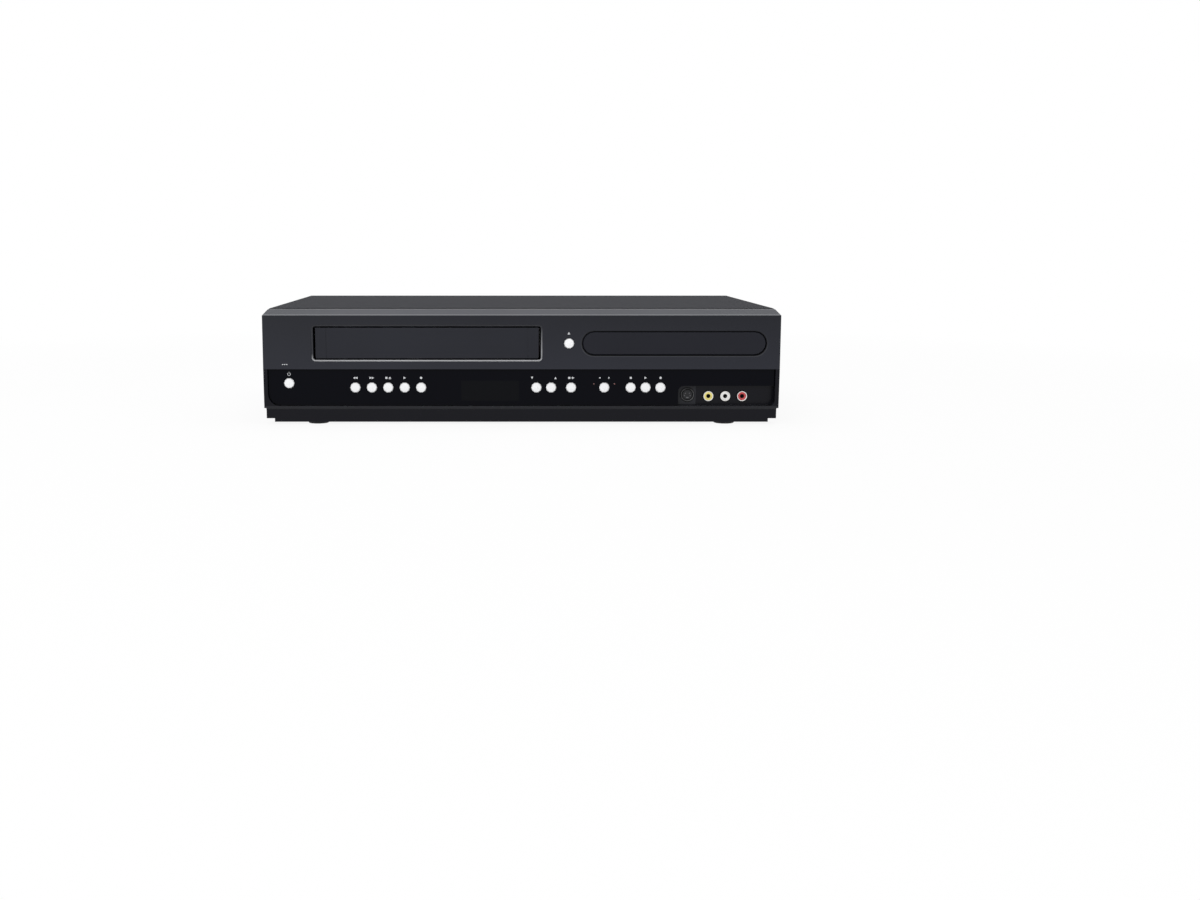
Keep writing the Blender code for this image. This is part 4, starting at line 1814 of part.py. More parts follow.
def head_drum():
    """The turning upper drum, dished on top round its shaft."""
    low, top = DRUM_SPLIT / 2, DRUM_UPPER_TALL
    dish = top - DRUM_RECESS_DEPTH
    shaft = top + DRUM_SHAFT_PROUD
    profile = [(0, shaft), (DRUM_SHAFT_RADIUS, shaft), (DRUM_SHAFT_RADIUS, dish), (DRUM_RECESS_RADIUS, dish)]
    profile += [(DRUM_RECESS_RADIUS, top), (DRUM_RADIUS, top), (DRUM_RADIUS, low), (0, low)]
    return turned("head_drum", bare_metal(), profile, drum_axis(), FINE)


def capstan():
    """The capstan shaft and its flywheel under the deck."""
    x, y = capstan_place()
    wheel_top = DECK_BOTTOM - FLYWHEEL_GAP
    wheel_low = wheel_top - FLYWHEEL_THICKNESS
    profile = [(0, CAPSTAN_TOP), (CAPSTAN_SHAFT_RADIUS, CAPSTAN_TOP), (CAPSTAN_SHAFT_RADIUS, wheel_top)]
    profile += [(FLYWHEEL_RADIUS, wheel_top), (FLYWHEEL_RADIUS, wheel_low), (0, wheel_low)]
    return turned("capstan", bare_metal(), profile, at(x, y, 0), MEDIUM)


def pinch_roller_arm():
    """The arm that swings the rubber roller towards the capstan."""
    x, y = pinch_place()
    low = DECK_TOP + PINCH_LIFT
    half = PINCH_ARM_WIDTH / 2
    outline = arc((0, 0), half, 90, 270, ARC_STEPS) + arc((PINCH_ARM_LENGTH, 0), half, -90, 90, ARC_STEPS)
    place = at(x, y, low) @ Matrix.Rotation(math.radians(PINCH_ARM_AIM_DEGREES), 4, "Z")
    bore = circle((0, 0), REEL_PIN_RADIUS + SEAT_GAP, SMALL)
    arm = plate("pinch_roller_arm", plated_steel(), [outline, bore], PINCH_ARM_THICKNESS, place)
    roller_place = place @ at(PINCH_ARM_LENGTH, 0, PINCH_ARM_THICKNESS - JOIN_LAP)
    roller = rod("pinch roller", rubber(), PINCH_ROLLER_RADIUS, PINCH_ROLLER_TALL, roller_place, MEDIUM)
    return join(arm, roller)


def cassette_carriage():
    """The cassette's holder: a folded C with a window on top, an end stop and two guide pins a side."""
    half, low, top = CARRIAGE_HALF + SHEET, CARRIAGE_FLOOR, CARRIAGE_CEILING + SHEET
    lip = half - CARRIAGE_LEDGE
    path = [(lip, low), (half, low), (half, top), (-half, top), (-half, low), (-lip, low)]
    carriage = folded(
        "cassette_carriage", plated_steel(), path, CARRIAGE_LENGTH, facing_front(DOOR_X, CARRIAGE_END, 0)
    )
    middle = (CARRIAGE_FRONT + CARRIAGE_END) / 2
    window_half = CARRIAGE_WINDOW_WIDTH / 2
    ys = (middle - CARRIAGE_WINDOW_LENGTH / 2, middle + CARRIAGE_WINDOW_LENGTH / 2)
    zs = (CARRIAGE_CEILING - OVERRUN, top + OVERRUN)
    cut(carriage, opening("carriage window", (DOOR_X - window_half, DOOR_X + window_half), ys, zs))
    for side in (-1, 1):
        xs = sorted((DOOR_X + side * (half - SHEET / 2), DOOR_X + side * (half - CARRIAGE_STOP)))
        stop_ys = (CARRIAGE_END - SHEET, CARRIAGE_END)
        join(
            carriage,
            box(f"cassette stop {side}", plated_steel(), xs, stop_ys, (low + SHEET / 2, low + CARRIAGE_STOP)),
        )
        for end in (-1, 1):
            reach = SHEET + SIDE_PLATE_GAP + SHEET
            start = at(
                DOOR_X + side * (half - SHEET / 2),
                middle + end * CARRIAGE_PIN_SPREAD / 2,
                carriage_pin_height(),
            )
            turn = Matrix.Rotation(math.radians(side * 90), 4, "Y")
            join(
                carriage,
                rod(
                    f"guide pin {side} {end}", plated_steel(), CARRIAGE_PIN_RADIUS, reach, start @ turn, SMALL
                ),
            )
    return carriage


def carriage_pin_height():
    return (CARRIAGE_FLOOR + CARRIAGE_CEILING) / 2


def carriage_frame():
    """Two side plates with the pins' slots, joined over the top by cross bars and footed on the deck."""
    outer = SIDE_PLATE_IN + SHEET
    low, top = DECK_TOP + SEAT_GAP, SIDE_PLATE_TOP
    front = depth(DECK_FRONT_DEPTH + SIDE_PLATE_FRONT_MARGIN)
    middle = (CARRIAGE_FRONT + CARRIAGE_END) / 2
    end = middle + CARRIAGE_PIN_SPREAD / 2 + CARRIAGE_TRAVEL + SIDE_PLATE_END_MARGIN
    path = [(outer, low), (outer, top), (-outer, top), (-outer, low)]
    frame = folded("carriage_frame", plated_steel(), path, end - front, facing_front(DOOR_X, end, 0))
    window = (DOOR_X - SIDE_PLATE_IN + CROSS_BAR_FOLD, DOOR_X + SIDE_PLATE_IN - CROSS_BAR_FOLD)
    ys = (front + CROSS_BAR_LENGTH, end - CROSS_BAR_LENGTH)
    cut(frame, opening("frame window", window, ys, (top - OVERRUN, top + OVERRUN)))
    slot_half = CARRIAGE_PIN_RADIUS + SEAT_GAP
    pin_z = carriage_pin_height()
    width = outer * 2 + OVERRUN * 2
    for name, spread in (("front", -1), ("rear", 1)):
        start = middle + spread * CARRIAGE_PIN_SPREAD / 2
        stop = start + CARRIAGE_TRAVEL
        slot = [(start - slot_half, pin_z - slot_half), (stop - slot_half, pin_z - slot_half)]
        slot += [
            (stop - slot_half, pin_z - CARRIAGE_DROP - slot_half),
            (stop + slot_half, pin_z - CARRIAGE_DROP - slot_half),
        ]
        slot += [(stop + slot_half, pin_z + slot_half), (start - slot_half, pin_z + slot_half)]
        cut(
            frame,
            plate(f"{name} guide slot", plated_steel(), [slot], width, across(DOOR_X - width / 2, 0, 0)),
        )
    return frame


# Boards and fan inside
def main_board():
    """The board under the rear sockets, with a hole for each deck leg that passes it."""
    xs, ys = (MAIN_BOARD_LEFT, MAIN_BOARD_RIGHT), (depth(MAIN_BOARD_FRONT_DEPTH), BOARD_END)
    legs = [(x, y) for x, y in deck_leg_places() if xs[0] < x < xs[1] and ys[0] < y < ys[1]]
    holes = [circle(place, DECK_LEG_RADIUS + LEG_HOLE_GAP, SMALL) for place in legs]
    board = plate(
        "main_board", circuit_board(), [rectangle(xs, ys), *holes], BOARD_THICKNESS, at(0, 0, BOARD_LEVEL)
    )
    x, y = (xs[0] + xs[1]) / 2, ys[0] + CHIP_SIDE
    zs = (BOARD_TOP - BOARD_THICKNESS / 2, BOARD_TOP + CHIP_TALL)
    chip = box(
        "main chip",
        dark_plastic(),
        (x - CHIP_SIDE / 2, x + CHIP_SIDE / 2),
        (y - CHIP_SIDE / 2, y + CHIP_SIDE / 2),
        zs,
    )
    return join(board, chip)


def digital_board():
    """The board over the disc loader, with the flat socket at its back edge."""
    xs, ys = (DIGITAL_BOARD_LEFT, DIGITAL_BOARD_RIGHT), (depth(DIGITAL_BOARD_FRONT_DEPTH), BOARD_END)
    board = box("digital_board", circuit_board(), xs, ys, (DIGITAL_BOARD_BOTTOM, DIGITAL_BOARD_TOP))
    x, y = (xs[0] + xs[1]) / 2, (ys[0] + ys[1]) / 2
    zs = (DIGITAL_BOARD_TOP - BOARD_THICKNESS / 2, DIGITAL_BOARD_TOP + CHIP_TALL)
    chip = box(
        "digital chip",
        dark_plastic(),
        (x - CHIP_SIDE / 2, x + CHIP_SIDE / 2),
        (y - CHIP_SIDE / 2, y + CHIP_SIDE / 2),
        zs,
    )
    return join(board, chip)


def power_board():
    """The supply's board with its big capacitor and heat sink."""
    xs = (POWER_BOARD_LEFT, POWER_BOARD_RIGHT)
    ys = (depth(POWER_BOARD_FRONT_DEPTH), depth(POWER_BOARD_FRONT_DEPTH + POWER_BOARD_LENGTH))
    board = box("power_board", circuit_board(), xs, ys, (BOARD_LEVEL, BOARD_TOP))
    lap = BOARD_TOP - BOARD_THICKNESS / 2
    y = (ys[0] + ys[1]) / 2
    can = at(xs[1] - CAPACITOR_RADIUS * 2, y, lap)
    join(board, rod("capacitor", dark_plastic(), CAPACITOR_RADIUS, CAPACITOR_TALL, can, MEDIUM))
    wide, thick, tall = HEATSINK_SIZE
    sink_x = xs[0] + wide
    sink = box(
        "heat sink",
        bare_metal(),
        (sink_x - wide / 2, sink_x + wide / 2),
        (y - thick / 2, y + thick / 2),
        (lap, lap + tall),
    )
    return join(board, sink)


def transformer():
    """The supply's transformer: a winding between two core plates."""
    wide, deep, tall = TRANSFORMER_SIZE
    x = (POWER_BOARD_LEFT + POWER_BOARD_RIGHT) / 2
    y = depth(POWER_BOARD_FRONT_DEPTH + POWER_BOARD_LENGTH / 2)
    low = BOARD_TOP + SEAT_GAP
    core = box(
        "transformer",
        dark_plastic(),
        (x - wide / 2, x + wide / 2),
        (y - deep / 3, y + deep / 3),
        (low, low + tall),
    )
    winding = at(x, y, low + tall / 4)
    return join(core, rod("winding", bare_metal(), deep / 2, tall / 2, winding, MEDIUM))


def fan_frame():
    """The fan's square frame, with its motor seat on four struts at the inner face."""
    half = FAN_SIDE / 2
    radii = (FAN_CORNER, FAN_CORNER, FAN_CORNER, FAN_CORNER)
    edge = rounded((FAN_X - half, FAN_X + half), (FAN_HEIGHT - half, FAN_HEIGHT + half), radii)
    holes = [circle((FAN_X, FAN_HEIGHT), FAN_BORE_RADIUS, FINE)]
    holes += [circle(place, FAN_SCREW_HOLE_RADIUS, SMALL // 2) for place in fan_screw_places()]
    frame = plate("fan_frame", dark_plastic(), [edge, *holes], FAN_THICKNESS, facing_front(0, INSIDE_END, 0))
    seat = facing_back(FAN_X, FAN_FRONT, FAN_HEIGHT)
    join(frame, rod("fan motor seat", dark_plastic(), FAN_HUB_RADIUS, FAN_STRUT_THICKNESS, seat, FINE))
    reach = FAN_BORE_RADIUS + JOIN_LAP
    for n in range(2):
        strut_ys = (FAN_FRONT, FAN_FRONT + FAN_STRUT_THICKNESS)
        strut = box(
            f"fan strut {n}",
            dark_plastic(),
            (-reach, reach),
            strut_ys,
            (-FAN_STRUT_WIDTH / 2, FAN_STRUT_WIDTH / 2),
        )
        strut.matrix_world = at(FAN_X, 0, FAN_HEIGHT) @ Matrix.Rotation(math.tau * (n + 1 / 2) / 4, 4, "Y")
        join(frame, strut)
    return frame


def fan_rotor():
    """The hub and its pitched blades."""
    front = FAN_FRONT + FAN_STRUT_THICKNESS + FAN_ROTOR_GAP
    end = INSIDE_END - FAN_ROTOR_GAP
    place = facing_back(FAN_X, front, FAN_HEIGHT)
    hub = rod("fan_rotor", dark_plastic(), FAN_HUB_RADIUS, end - front, place, FINE)
    pitch = math.radians(FAN_BLADE_PITCH_DEGREES)
    for n in range(FAN_BLADE_COUNT):
        xs = (FAN_HUB_RADIUS - FAN_BLADE_THICKNESS, FAN_BLADE_RADIUS - FAN_BLADE_THICKNESS)
        chord = FAN_BLADE_CHORD / 2
        thick = FAN_BLADE_THICKNESS / 2
        blade = box(f"fan blade {n}", dark_plastic(), xs, (-chord, chord), (-thick, thick))
        middle = at(0, 0, (end - front) / 2)
        around = Matrix.Rotation(math.tau * n / FAN_BLADE_COUNT, 4, "Z")
        blade.matrix_world = place @ around @ middle @ Matrix.Rotation(pitch, 4, "X")
        join(hub, blade)
    return hub


def build():
    front_panel()
    control_window()
    push_buttons()
    front_board()
    display_module()
    front_sockets()
    vcr_door()
    tray_gear()
    disc_tray()
    tray_front()
    drive_base()
    spindle()
    laser_sled()
    clamp_bridge()
    disc_clamper()
    vcr_deck()
    for name, (x, y) in reel_places().items():
        tape_reel(name, x, y)
    drum_base()
    head_drum()
    capstan()
    pinch_roller_arm()
    cassette_carriage()
    carriage_frame()
    main_board()
    digital_board()
    power_board()
    transformer()
    fan_frame()
    fan_rotor()
    rear_sockets()
    hdmi_socket()
    mains_inlet()
    rear_panel()
    top_cover()
    chassis_base()
    feet()


build()
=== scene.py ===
# %% [markdown]
# # A disc and tape player
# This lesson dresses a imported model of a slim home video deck. The solids bring the shapes,
# so the work here is finish: moulded plastic, gloss window, painted and zinc-plated sheet,
# and the small printed and pressed details that a picture shows.

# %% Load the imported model
import math

import bmesh
import bpy
from mathutils import Matrix, Vector


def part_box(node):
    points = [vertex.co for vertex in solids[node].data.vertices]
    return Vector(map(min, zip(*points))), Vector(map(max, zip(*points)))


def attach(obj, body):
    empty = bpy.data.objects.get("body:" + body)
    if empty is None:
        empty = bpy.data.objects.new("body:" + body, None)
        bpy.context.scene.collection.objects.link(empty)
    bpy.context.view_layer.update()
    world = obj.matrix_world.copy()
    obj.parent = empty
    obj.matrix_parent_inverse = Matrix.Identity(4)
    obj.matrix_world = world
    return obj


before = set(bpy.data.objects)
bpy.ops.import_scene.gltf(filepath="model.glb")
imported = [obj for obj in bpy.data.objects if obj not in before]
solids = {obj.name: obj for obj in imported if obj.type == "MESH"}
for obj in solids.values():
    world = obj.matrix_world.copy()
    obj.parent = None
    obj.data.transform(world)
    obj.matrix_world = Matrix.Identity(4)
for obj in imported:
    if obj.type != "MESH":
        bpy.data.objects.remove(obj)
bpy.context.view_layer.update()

# %% [markdown]
# ## The camera
# The picture was taken from straight in front, a little above, and cropped so that the player
# sits left of the middle. A level turn would slant the front's edges, so the crop is made
# with the camera's sideways shift instead.

# %% Place the camera
LENS_MM = 39.47
CAMERA_PLACE = (-0.0125, -1.2391, 0.1571)
CAMERA_PITCH_DEGREES = 9.216
CAMERA_SHIFT = 0.0778

lens = bpy.data.cameras.new("front_camera")
lens.lens = LENS_MM
lens.sensor_width = 36
lens.shift_x = CAMERA_SHIFT
camera = bpy.data.objects.new("front_camera", lens)
camera.location = CAMERA_PLACE
camera.rotation_euler = (math.radians(90 - CAMERA_PITCH_DEGREES), 0, 0)
bpy.context.scene.collection.objects.link(camera)
bpy.context.scene.camera = camera

# %% [markdown]
# ## Light
# A product picture is lit by broad soft sources. A pale sky fills every side, one wide panel
# hangs above to pick out the edges that face up, and a weaker one stands by the camera.
# Camera rays see plain white, and glossy rays see it too, so that metal shows the same room.

# %% Build the sky
SKY_STRENGTH = 0.62

sky = bpy.data.worlds.new("soft_room")
sky.use_nodes = True
bpy.context.scene.world = sky
sky_tree = sky.node_tree
sky_shade = sky_tree.nodes["Background"]
sky_shade.inputs["Color"].default_value = (1.0, 1.0, 1.0, 1.0)
rays = sky_tree.nodes.new("ShaderNodeLightPath")
seen = sky_tree.nodes.new("ShaderNodeMath")
seen.operation = "MAXIMUM"
sky_tree.links.new(rays.outputs["Is Camera Ray"], seen.inputs[0])
sky_tree.links.new(rays.outputs["Is Glossy Ray"], seen.inputs[1])
seen_through = sky_tree.nodes.new("ShaderNodeMath")
seen_through.operation = "MAXIMUM"
sky_tree.links.new(seen.outputs[0], seen_through.inputs[0])
sky_tree.links.new(rays.outputs["Is Transmission Ray"], seen_through.inputs[1])
level = sky_tree.nodes.new("ShaderNodeMapRange")
level.inputs["To Min"].default_value = SKY_STRENGTH
level.inputs["To Max"].default_value = 1.0
sky_tree.links.new(seen_through.outputs[0], level.inputs["Value"])
sky_tree.links.new(level.outputs["Result"], sky_shade.inputs["Strength"])


# %% Hang the lamps
def soft_lamp(name, place, target, wide, tall, watts):
    """A rectangular area lamp that faces its target."""
    lamp = bpy.data.lights.new(name, "AREA")
    lamp.shape = "RECTANGLE"
    lamp.size = wide
    lamp.size_y = tall
    lamp.energy = watts
    holder = bpy.data.objects.new(name, lamp)
    holder.location = place
    aim = Vector(target) - Vector(place)
    holder.rotation_euler = aim.to_track_quat("-Z", "Y").to_euler()
    bpy.context.scene.collection.objects.link(holder)
    return holder


soft_lamp("overhead_panel", (0.0, 0.10, 1.30), (0, 0, 0.05), 1.8, 1.0, 9.0)
soft_lamp("camera_side_panel", (-0.7, -2.1, 1.1), (0, -0.1, 0.05), 1.2, 0.9, 22.0)

# %% [markdown]
# ## Shader maths as expressions
# A material often needs a mask that is a sum of others. Wiring each Math node by hand hides
# the sum, so a small class stands for one socket and Python's own signs add the nodes.


# %% A socket that takes part in sums
class Value:
    """One output socket, with the signs of arithmetic."""

    def __init__(self, finish, socket):
        self.finish = finish
        self.socket = socket

    def math(self, operation, *others):
        return self.finish.math(operation, self, *others)

    def __add__(self, other):
        return self.math("ADD", other)

    def __sub__(self, other):
        return self.math("SUBTRACT", other)

    def __rsub__(self, other):
        return self.finish.math("SUBTRACT", other, self)

    def __mul__(self, other):
        return self.math("MULTIPLY", other)

    def __gt__(self, other):
        return self.math("GREATER_THAN", other)

    def __lt__(self, other):
        return self.math("LESS_THAN", other)

    __radd__ = __add__
    __rmul__ = __mul__


class Finish:
    """A material that is built from one Principled shader."""

    def __init__(self, name, colour, roughness, metallic=0.0, **more):
        self.material = bpy.data.materials.new(name)
        self.material.use_nodes = True
        self.material.diffuse_color = (*colour, 1.0)
        self.tree = self.material.node_tree
        self.shader = self.tree.nodes["Principled BSDF"]
        self.fill(self.shader, {"Base Color": (*colour, 1.0), "Roughness": roughness, "Metallic": metallic})
        self.fill(self.shader, {key.replace("_", " "): value for key, value in more.items()})

    def fill(self, node, sockets):
        for key, value in sockets.items():
            socket = node.inputs[key]
            if isinstance(value, Value):
                self.tree.links.new(value.socket, socket)
            else:
                socket.default_value = value

    def node(self, kind, sockets=None, output=0, **settings):
        """Adds a node, its settings first, and gives one of its outputs."""
        made = self.tree.nodes.new("ShaderNode" + kind)
        stops = settings.pop("stops", ())
        for key, value in settings.items():
            setattr(made, key, value)
        for n, (place, colour) in enumerate(stops):
            ramp = made.color_ramp.elements
            stop = ramp[n] if n < len(ramp) else ramp.new(place)
            stop.position = place
            stop.color = colour
        self.fill(made, sockets or {})
        return Value(self, made.outputs[output])

    def math(self, operation, *values):
        sockets = dict(enumerate(values))
        return self.node("Math", sockets, operation=operation)

    def place(self):
        """Where a point is on the object, in metres."""
        return self.node("TexCoord", output="Object")

    def axes(self):
        split = self.node("SeparateXYZ", {"Vector": self.place()})
        outputs = split.socket.node.outputs
        return [Value(self, outputs[n]) for n in range(3)]

    def noise(self, per_metre, detail=2.0, vector=None):
        sockets = {"Vector": vector or self.place(), "Scale": per_metre, "Detail": detail}
        return self.node("TexNoise", sockets)

    def mix(self, share, first, second):
        """A colour between two, by a share from 0 to 1."""
        made = self.tree.nodes.new("ShaderNodeMix")
        made.data_type = "RGBA"
        made.clamp_factor = True
        sides = (("Factor", 0, share), ("A", 6, first), ("B", 7, second))
        for _, index, value in sides:
            socket = made.inputs[index]
            if isinstance(value, Value):
                self.tree.links.new(value.socket, socket)
            elif index == 0:
                socket.default_value = value
            else:
                socket.default_value = (*value, 1.0)
        return Value(self, made.outputs[2])

    def drift(self, colour):
        """The colour, paler and darker by slow patches."""
        return self.mix(self.noise(14.0), shade(colour, 0.86), shade(colour, 1.12))

    def paint(self, colour):
        self.fill(self.shader, {"Base Color": colour})

    def roughen(self, mask, swing, least):
        """Roughness runs from the least value up by the swing, as the mask goes from 0 to 1."""
        self.fill(self.shader, {"Roughness": mask * swing + least})

    def bumped(self, height, strength, distance):
        sockets = {"Height": height, "Strength": strength, "Distance": distance}
        self.fill(self.shader, {"Normal": self.node("Bump", sockets)})


def shade(colour, share):
    return tuple(channel * share for channel in colour)


# %% [markdown]
# ## Moulded plastics
# The front is black plastic with a fine spark-eroded grain. The grain is far smaller than
# anything else, so it is bump from a quick noise, and a slower noise shifts the tone a little
# as real mouldings do where they filled unevenly.

# %% Grained and smooth plastics
GRAIN_PER_METRE = 2600.0
GRAIN_DEPTH = 0.00003
GRAIN_STRENGTH = 0.35
WEAR_PER_METRE = 90.0
MOULD_SWING = 0.12


def moulded(name, colour, roughness, grain=GRAIN_PER_METRE, depth=GRAIN_DEPTH, **more):
    """Plastic with a moulded grain and a slow drift of tone."""
    finish = Finish(name, colour, roughness, **more)
    finish.paint(finish.drift(colour))
    finish.roughen(finish.noise(WEAR_PER_METRE, 4.0), MOULD_SWING, roughness - MOULD_SWING / 2)
    finish.bumped(finish.noise(grain), GRAIN_STRENGTH, depth)
    return finish


door_plastic = moulded("satin_door_plastic", (0.0135, 0.0145, 0.0205), 0.44, Specular_IOR_Level=0.16)
tray_front_plastic = moulded("satin_tray_front", (0.0125, 0.0131, 0.0185), 0.36, Specular_IOR_Level=0.12)
dark_plastic = moulded("dark_socket_plastic", (0.0175, 0.0180, 0.0198), 0.50, Specular_IOR_Level=0.2)
tray_plastic = moulded("tray_plastic", (0.026, 0.026, 0.028), 0.42, Specular_IOR_Level=0.3)
pale_plastic = moulded("pale_gear_plastic", (0.62, 0.62, 0.60), 0.45, grain=1800.0)
grey_plastic = moulded("grey_reel_plastic", (0.17, 0.17, 0.18), 0.45, grain=1800.0)
fan_plastic = moulded("fan_plastic", (0.014, 0.014, 0.015), 0.40, grain=2000.0)
rubber = moulded("black_rubber", (0.018, 0.018, 0.018), 0.82, grain=1500.0, depth=0.00006)

# %% [markdown]
# ## One moulding, four finishes
# The front is a single moulding that looks like several. Its face is satin black, painted darker
# towards the top as painted shade, and the strip behind the keys and everything below it is darker
# and smoother. The edge that faces up is painted paler as painted light, with a painted highlight
# along its foot, and the lip near the bottom carries a painted highlight. A silver line runs round
# the cassette mouth, and it fades upwards and on its left side as painted shade. Each is a mask
# from where a point lies, so the shape stays one solid. The line uses the distance from a rounded
# box: it is zero on the mouth's edge and grows outwards. The same distance draws the painted
# shade in the gap round the tray and the painted dim light on the rim below it.

# %% Satin face with painted shade, dark strip, painted light on the upper edge and the lip
FACE_BLACK = (0.0172, 0.0185, 0.0261)
STRIP_BLACK = (0.0012, 0.0013, 0.0042)
# Painted highlight on the lip, then painted light on the upper edge and a painted highlight along its foot.
LIP_PAINTED_HIGHLIGHT = (0.0150, 0.0155, 0.0190)
EDGE_PAINTED_LIGHT = (0.060, 0.062, 0.072)
EDGE_PAINTED_HIGHLIGHT = (0.125, 0.128, 0.140)
STRIP_TOP = 0.0468
LIP_SPAN = (0.0127, 0.0156)
EDGE_BOTTOM = 0.0919
EDGE_BACK = -0.1240
HIGHLIGHT_TOP = 0.0927
# Share and rate of the painted shade that darkens the face towards the top.
TOP_SHADE_SHARE = 0.62
SHADE_PER_METRE = 22.0

front_plastic = Finish("front_plastic", FACE_BLACK, 0.46, Specular_IOR_Level=0.17)
front_x, front_y, front_z = front_plastic.axes()
strip = front_z < STRIP_TOP
lit_lip = (front_z > LIP_SPAN[0]) * (front_z < LIP_SPAN[1])
# Painted light: the edge that faces up is painted paler, with a painted highlight at its foot.
lit_upper_edge = (front_z > EDGE_BOTTOM) * (front_y < EDGE_BACK)
edge_highlight = lit_upper_edge * (front_z < HIGHLIGHT_TOP)
# Painted shade: the face darkens from the strip upwards.
shade_by_height = (front_z - STRIP_TOP) * SHADE_PER_METRE
lower_lit_tone = front_plastic.drift(FACE_BLACK)
upper_shaded_tone = front_plastic.drift(shade(FACE_BLACK, TOP_SHADE_SHARE))
shaded_face_tone = front_plastic.mix(shade_by_height, lower_lit_tone, upper_shaded_tone)
front_tone = front_plastic.mix(lit_upper_edge, shaded_face_tone, front_plastic.drift(EDGE_PAINTED_LIGHT))
front_tone = front_plastic.mix(edge_highlight, front_tone, front_plastic.drift(EDGE_PAINTED_HIGHLIGHT))
front_tone = front_plastic.mix(strip, front_tone, front_plastic.drift(STRIP_BLACK))
# Painted highlight on the lip.
front_tone = front_plastic.mix(lit_lip, front_tone, front_plastic.drift(LIP_PAINTED_HIGHLIGHT))

# %% Silver line round the mouth with painted shade, painted shade and light round the tray
SILVER = (0.34, 0.343, 0.355)
MOUTH_CENTRE = (-0.0795, 0.06865)
MOUTH_HALF = (0.0958, 0.01405)
MOUTH_ROUND = 0.0020
LINE_INNER = 0.00015
LINE_OUTER = 0.0012
LINE_BACK = -0.1250
# The silver line is real; above these heights it fades as painted shade, soon on the left side.
LINE_LIT_TOP = 0.0835
LINE_LIGHT_FADE = 45.0
LEFT_LINE_LIT_TOP = 0.0600
LEFT_LINE_LIGHT_FADE = 250.0
LINE_LEAST_LIGHT = 0.10
TRAY_CENTRE = (0.1284, 0.0685)
TRAY_HALF = (0.0776, 0.0102)
# Painted shade in the gap round the tray, and painted light on the rim below it.
GAP_REACH = 0.0005
RIM_REACH = 0.0011
RIM_FADE = 60.0
GAP_PAINTED_SHADE = (0.0040, 0.0041, 0.0060)
RIM_PAINTED_LIGHT = (0.036, 0.037, 0.045)
BLOCK_CENTRE = (0.1409, 0.0238)
BLOCK_HALF = (0.0075, 0.0079)
BLOCK_CORNER = 0.0006
BLOCK_FRONT = -0.1320
BLOCK_GREY = (0.020, 0.021, 0.026)


def box_distance(finish, across, upright, centre, half, corner):
    """How far a point is outside a rounded box, from its X and Z."""
    past_x = ((across - centre[0]).math("ABSOLUTE") - (half[0] - corner)).math("MAXIMUM", 0.0)
    past_z = ((upright - centre[1]).math("ABSOLUTE") - (half[1] - corner)).math("MAXIMUM", 0.0)
    return (past_x * past_x + past_z * past_z).math("SQRT") - corner


def fade(top, upright, per_metre):
    """1 well below a height, falling to 0 at it."""
    return ((top - upright) * per_metre).math("MINIMUM", 1.0)


mouth_away = box_distance(front_plastic, front_x, front_z, MOUTH_CENTRE, MOUTH_HALF, MOUTH_ROUND)
silver_line = (mouth_away > LINE_INNER) * (mouth_away < LINE_OUTER) * (front_y < LINE_BACK)
# Painted shade on the silver line: it fades upwards, and quickly on the left.
left_line_light = fade(LEFT_LINE_LIT_TOP, front_z, LEFT_LINE_LIGHT_FADE)
line_light = fade(LINE_LIT_TOP, front_z, LINE_LIGHT_FADE) * left_line_light.math("MAXIMUM", front_x > MOUTH_CENTRE[0])
silver_line = silver_line * line_light.math("MAXIMUM", LINE_LEAST_LIGHT)
tray_away = box_distance(front_plastic, front_x, front_z, TRAY_CENTRE, TRAY_HALF, TRAY_HALF[1])
# Painted light: a dim pale rim under the tray.
painted_rim_light = (tray_away < RIM_REACH) * fade(TRAY_CENTRE[1] + TRAY_HALF[1], front_z, RIM_FADE)
front_tone = front_plastic.mix(painted_rim_light, front_tone, front_plastic.drift(RIM_PAINTED_LIGHT))
# Painted shade in the gap round the tray and on its inner walls.
front_tone = front_plastic.mix(tray_away < GAP_REACH, front_tone, GAP_PAINTED_SHADE)
block_away = box_distance(front_plastic, front_x, front_z, BLOCK_CENTRE, BLOCK_HALF, BLOCK_CORNER)
video_block = (block_away < 0.0) * (front_y > BLOCK_FRONT)
front_tone = front_plastic.mix(video_block, front_tone, front_plastic.drift(BLOCK_GREY))
front_plastic.paint(front_plastic.mix(silver_line, front_tone, front_plastic.drift(SILVER)))

# %% Gloss of the front
FACE_ROUGHNESS = 0.41
FACE_SWING = 0.10
STRIP_GLOSS = 0.20
LINE_GLOSS = 0.06
EDGE_GLOSS = 0.08
LINE_METAL = 0.3
front_rough = front_plastic.noise(WEAR_PER_METRE, 4.0) * FACE_SWING + FACE_ROUGHNESS
front_rough = front_rough - strip * STRIP_GLOSS - silver_line * LINE_GLOSS - lit_upper_edge * EDGE_GLOSS
front_plastic.fill(front_plastic.shader, {"Roughness": front_rough, "Metallic": silver_line * LINE_METAL})
front_plastic.bumped(front_plastic.noise(GRAIN_PER_METRE), GRAIN_STRENGTH, GRAIN_DEPTH)

# %% [markdown]
# ## The keys and the window
# The round keys are white with a clear hard coat, so a coat layer gives the small sharp
# highlight. The window is dark acrylic. A faint raised glow of grey marks the clock display
# behind it, drawn as a soft box in the material, because the window itself is one solid.

# %% Key and window finishes
KEY_WHITE = (0.86, 0.865, 0.88)
key_plastic = Finish("white_key_plastic", KEY_WHITE, 0.26, Coat_Weight=0.5, Coat_Roughness=0.08)
key_tone = key_plastic.noise(320.0, 3.0)
key_plastic.paint(key_plastic.mix(key_tone, (0.82, 0.825, 0.84), (0.90, 0.905, 0.92)))
key_plastic.bumped(key_plastic.noise(1900.0), 0.10, 0.00002)

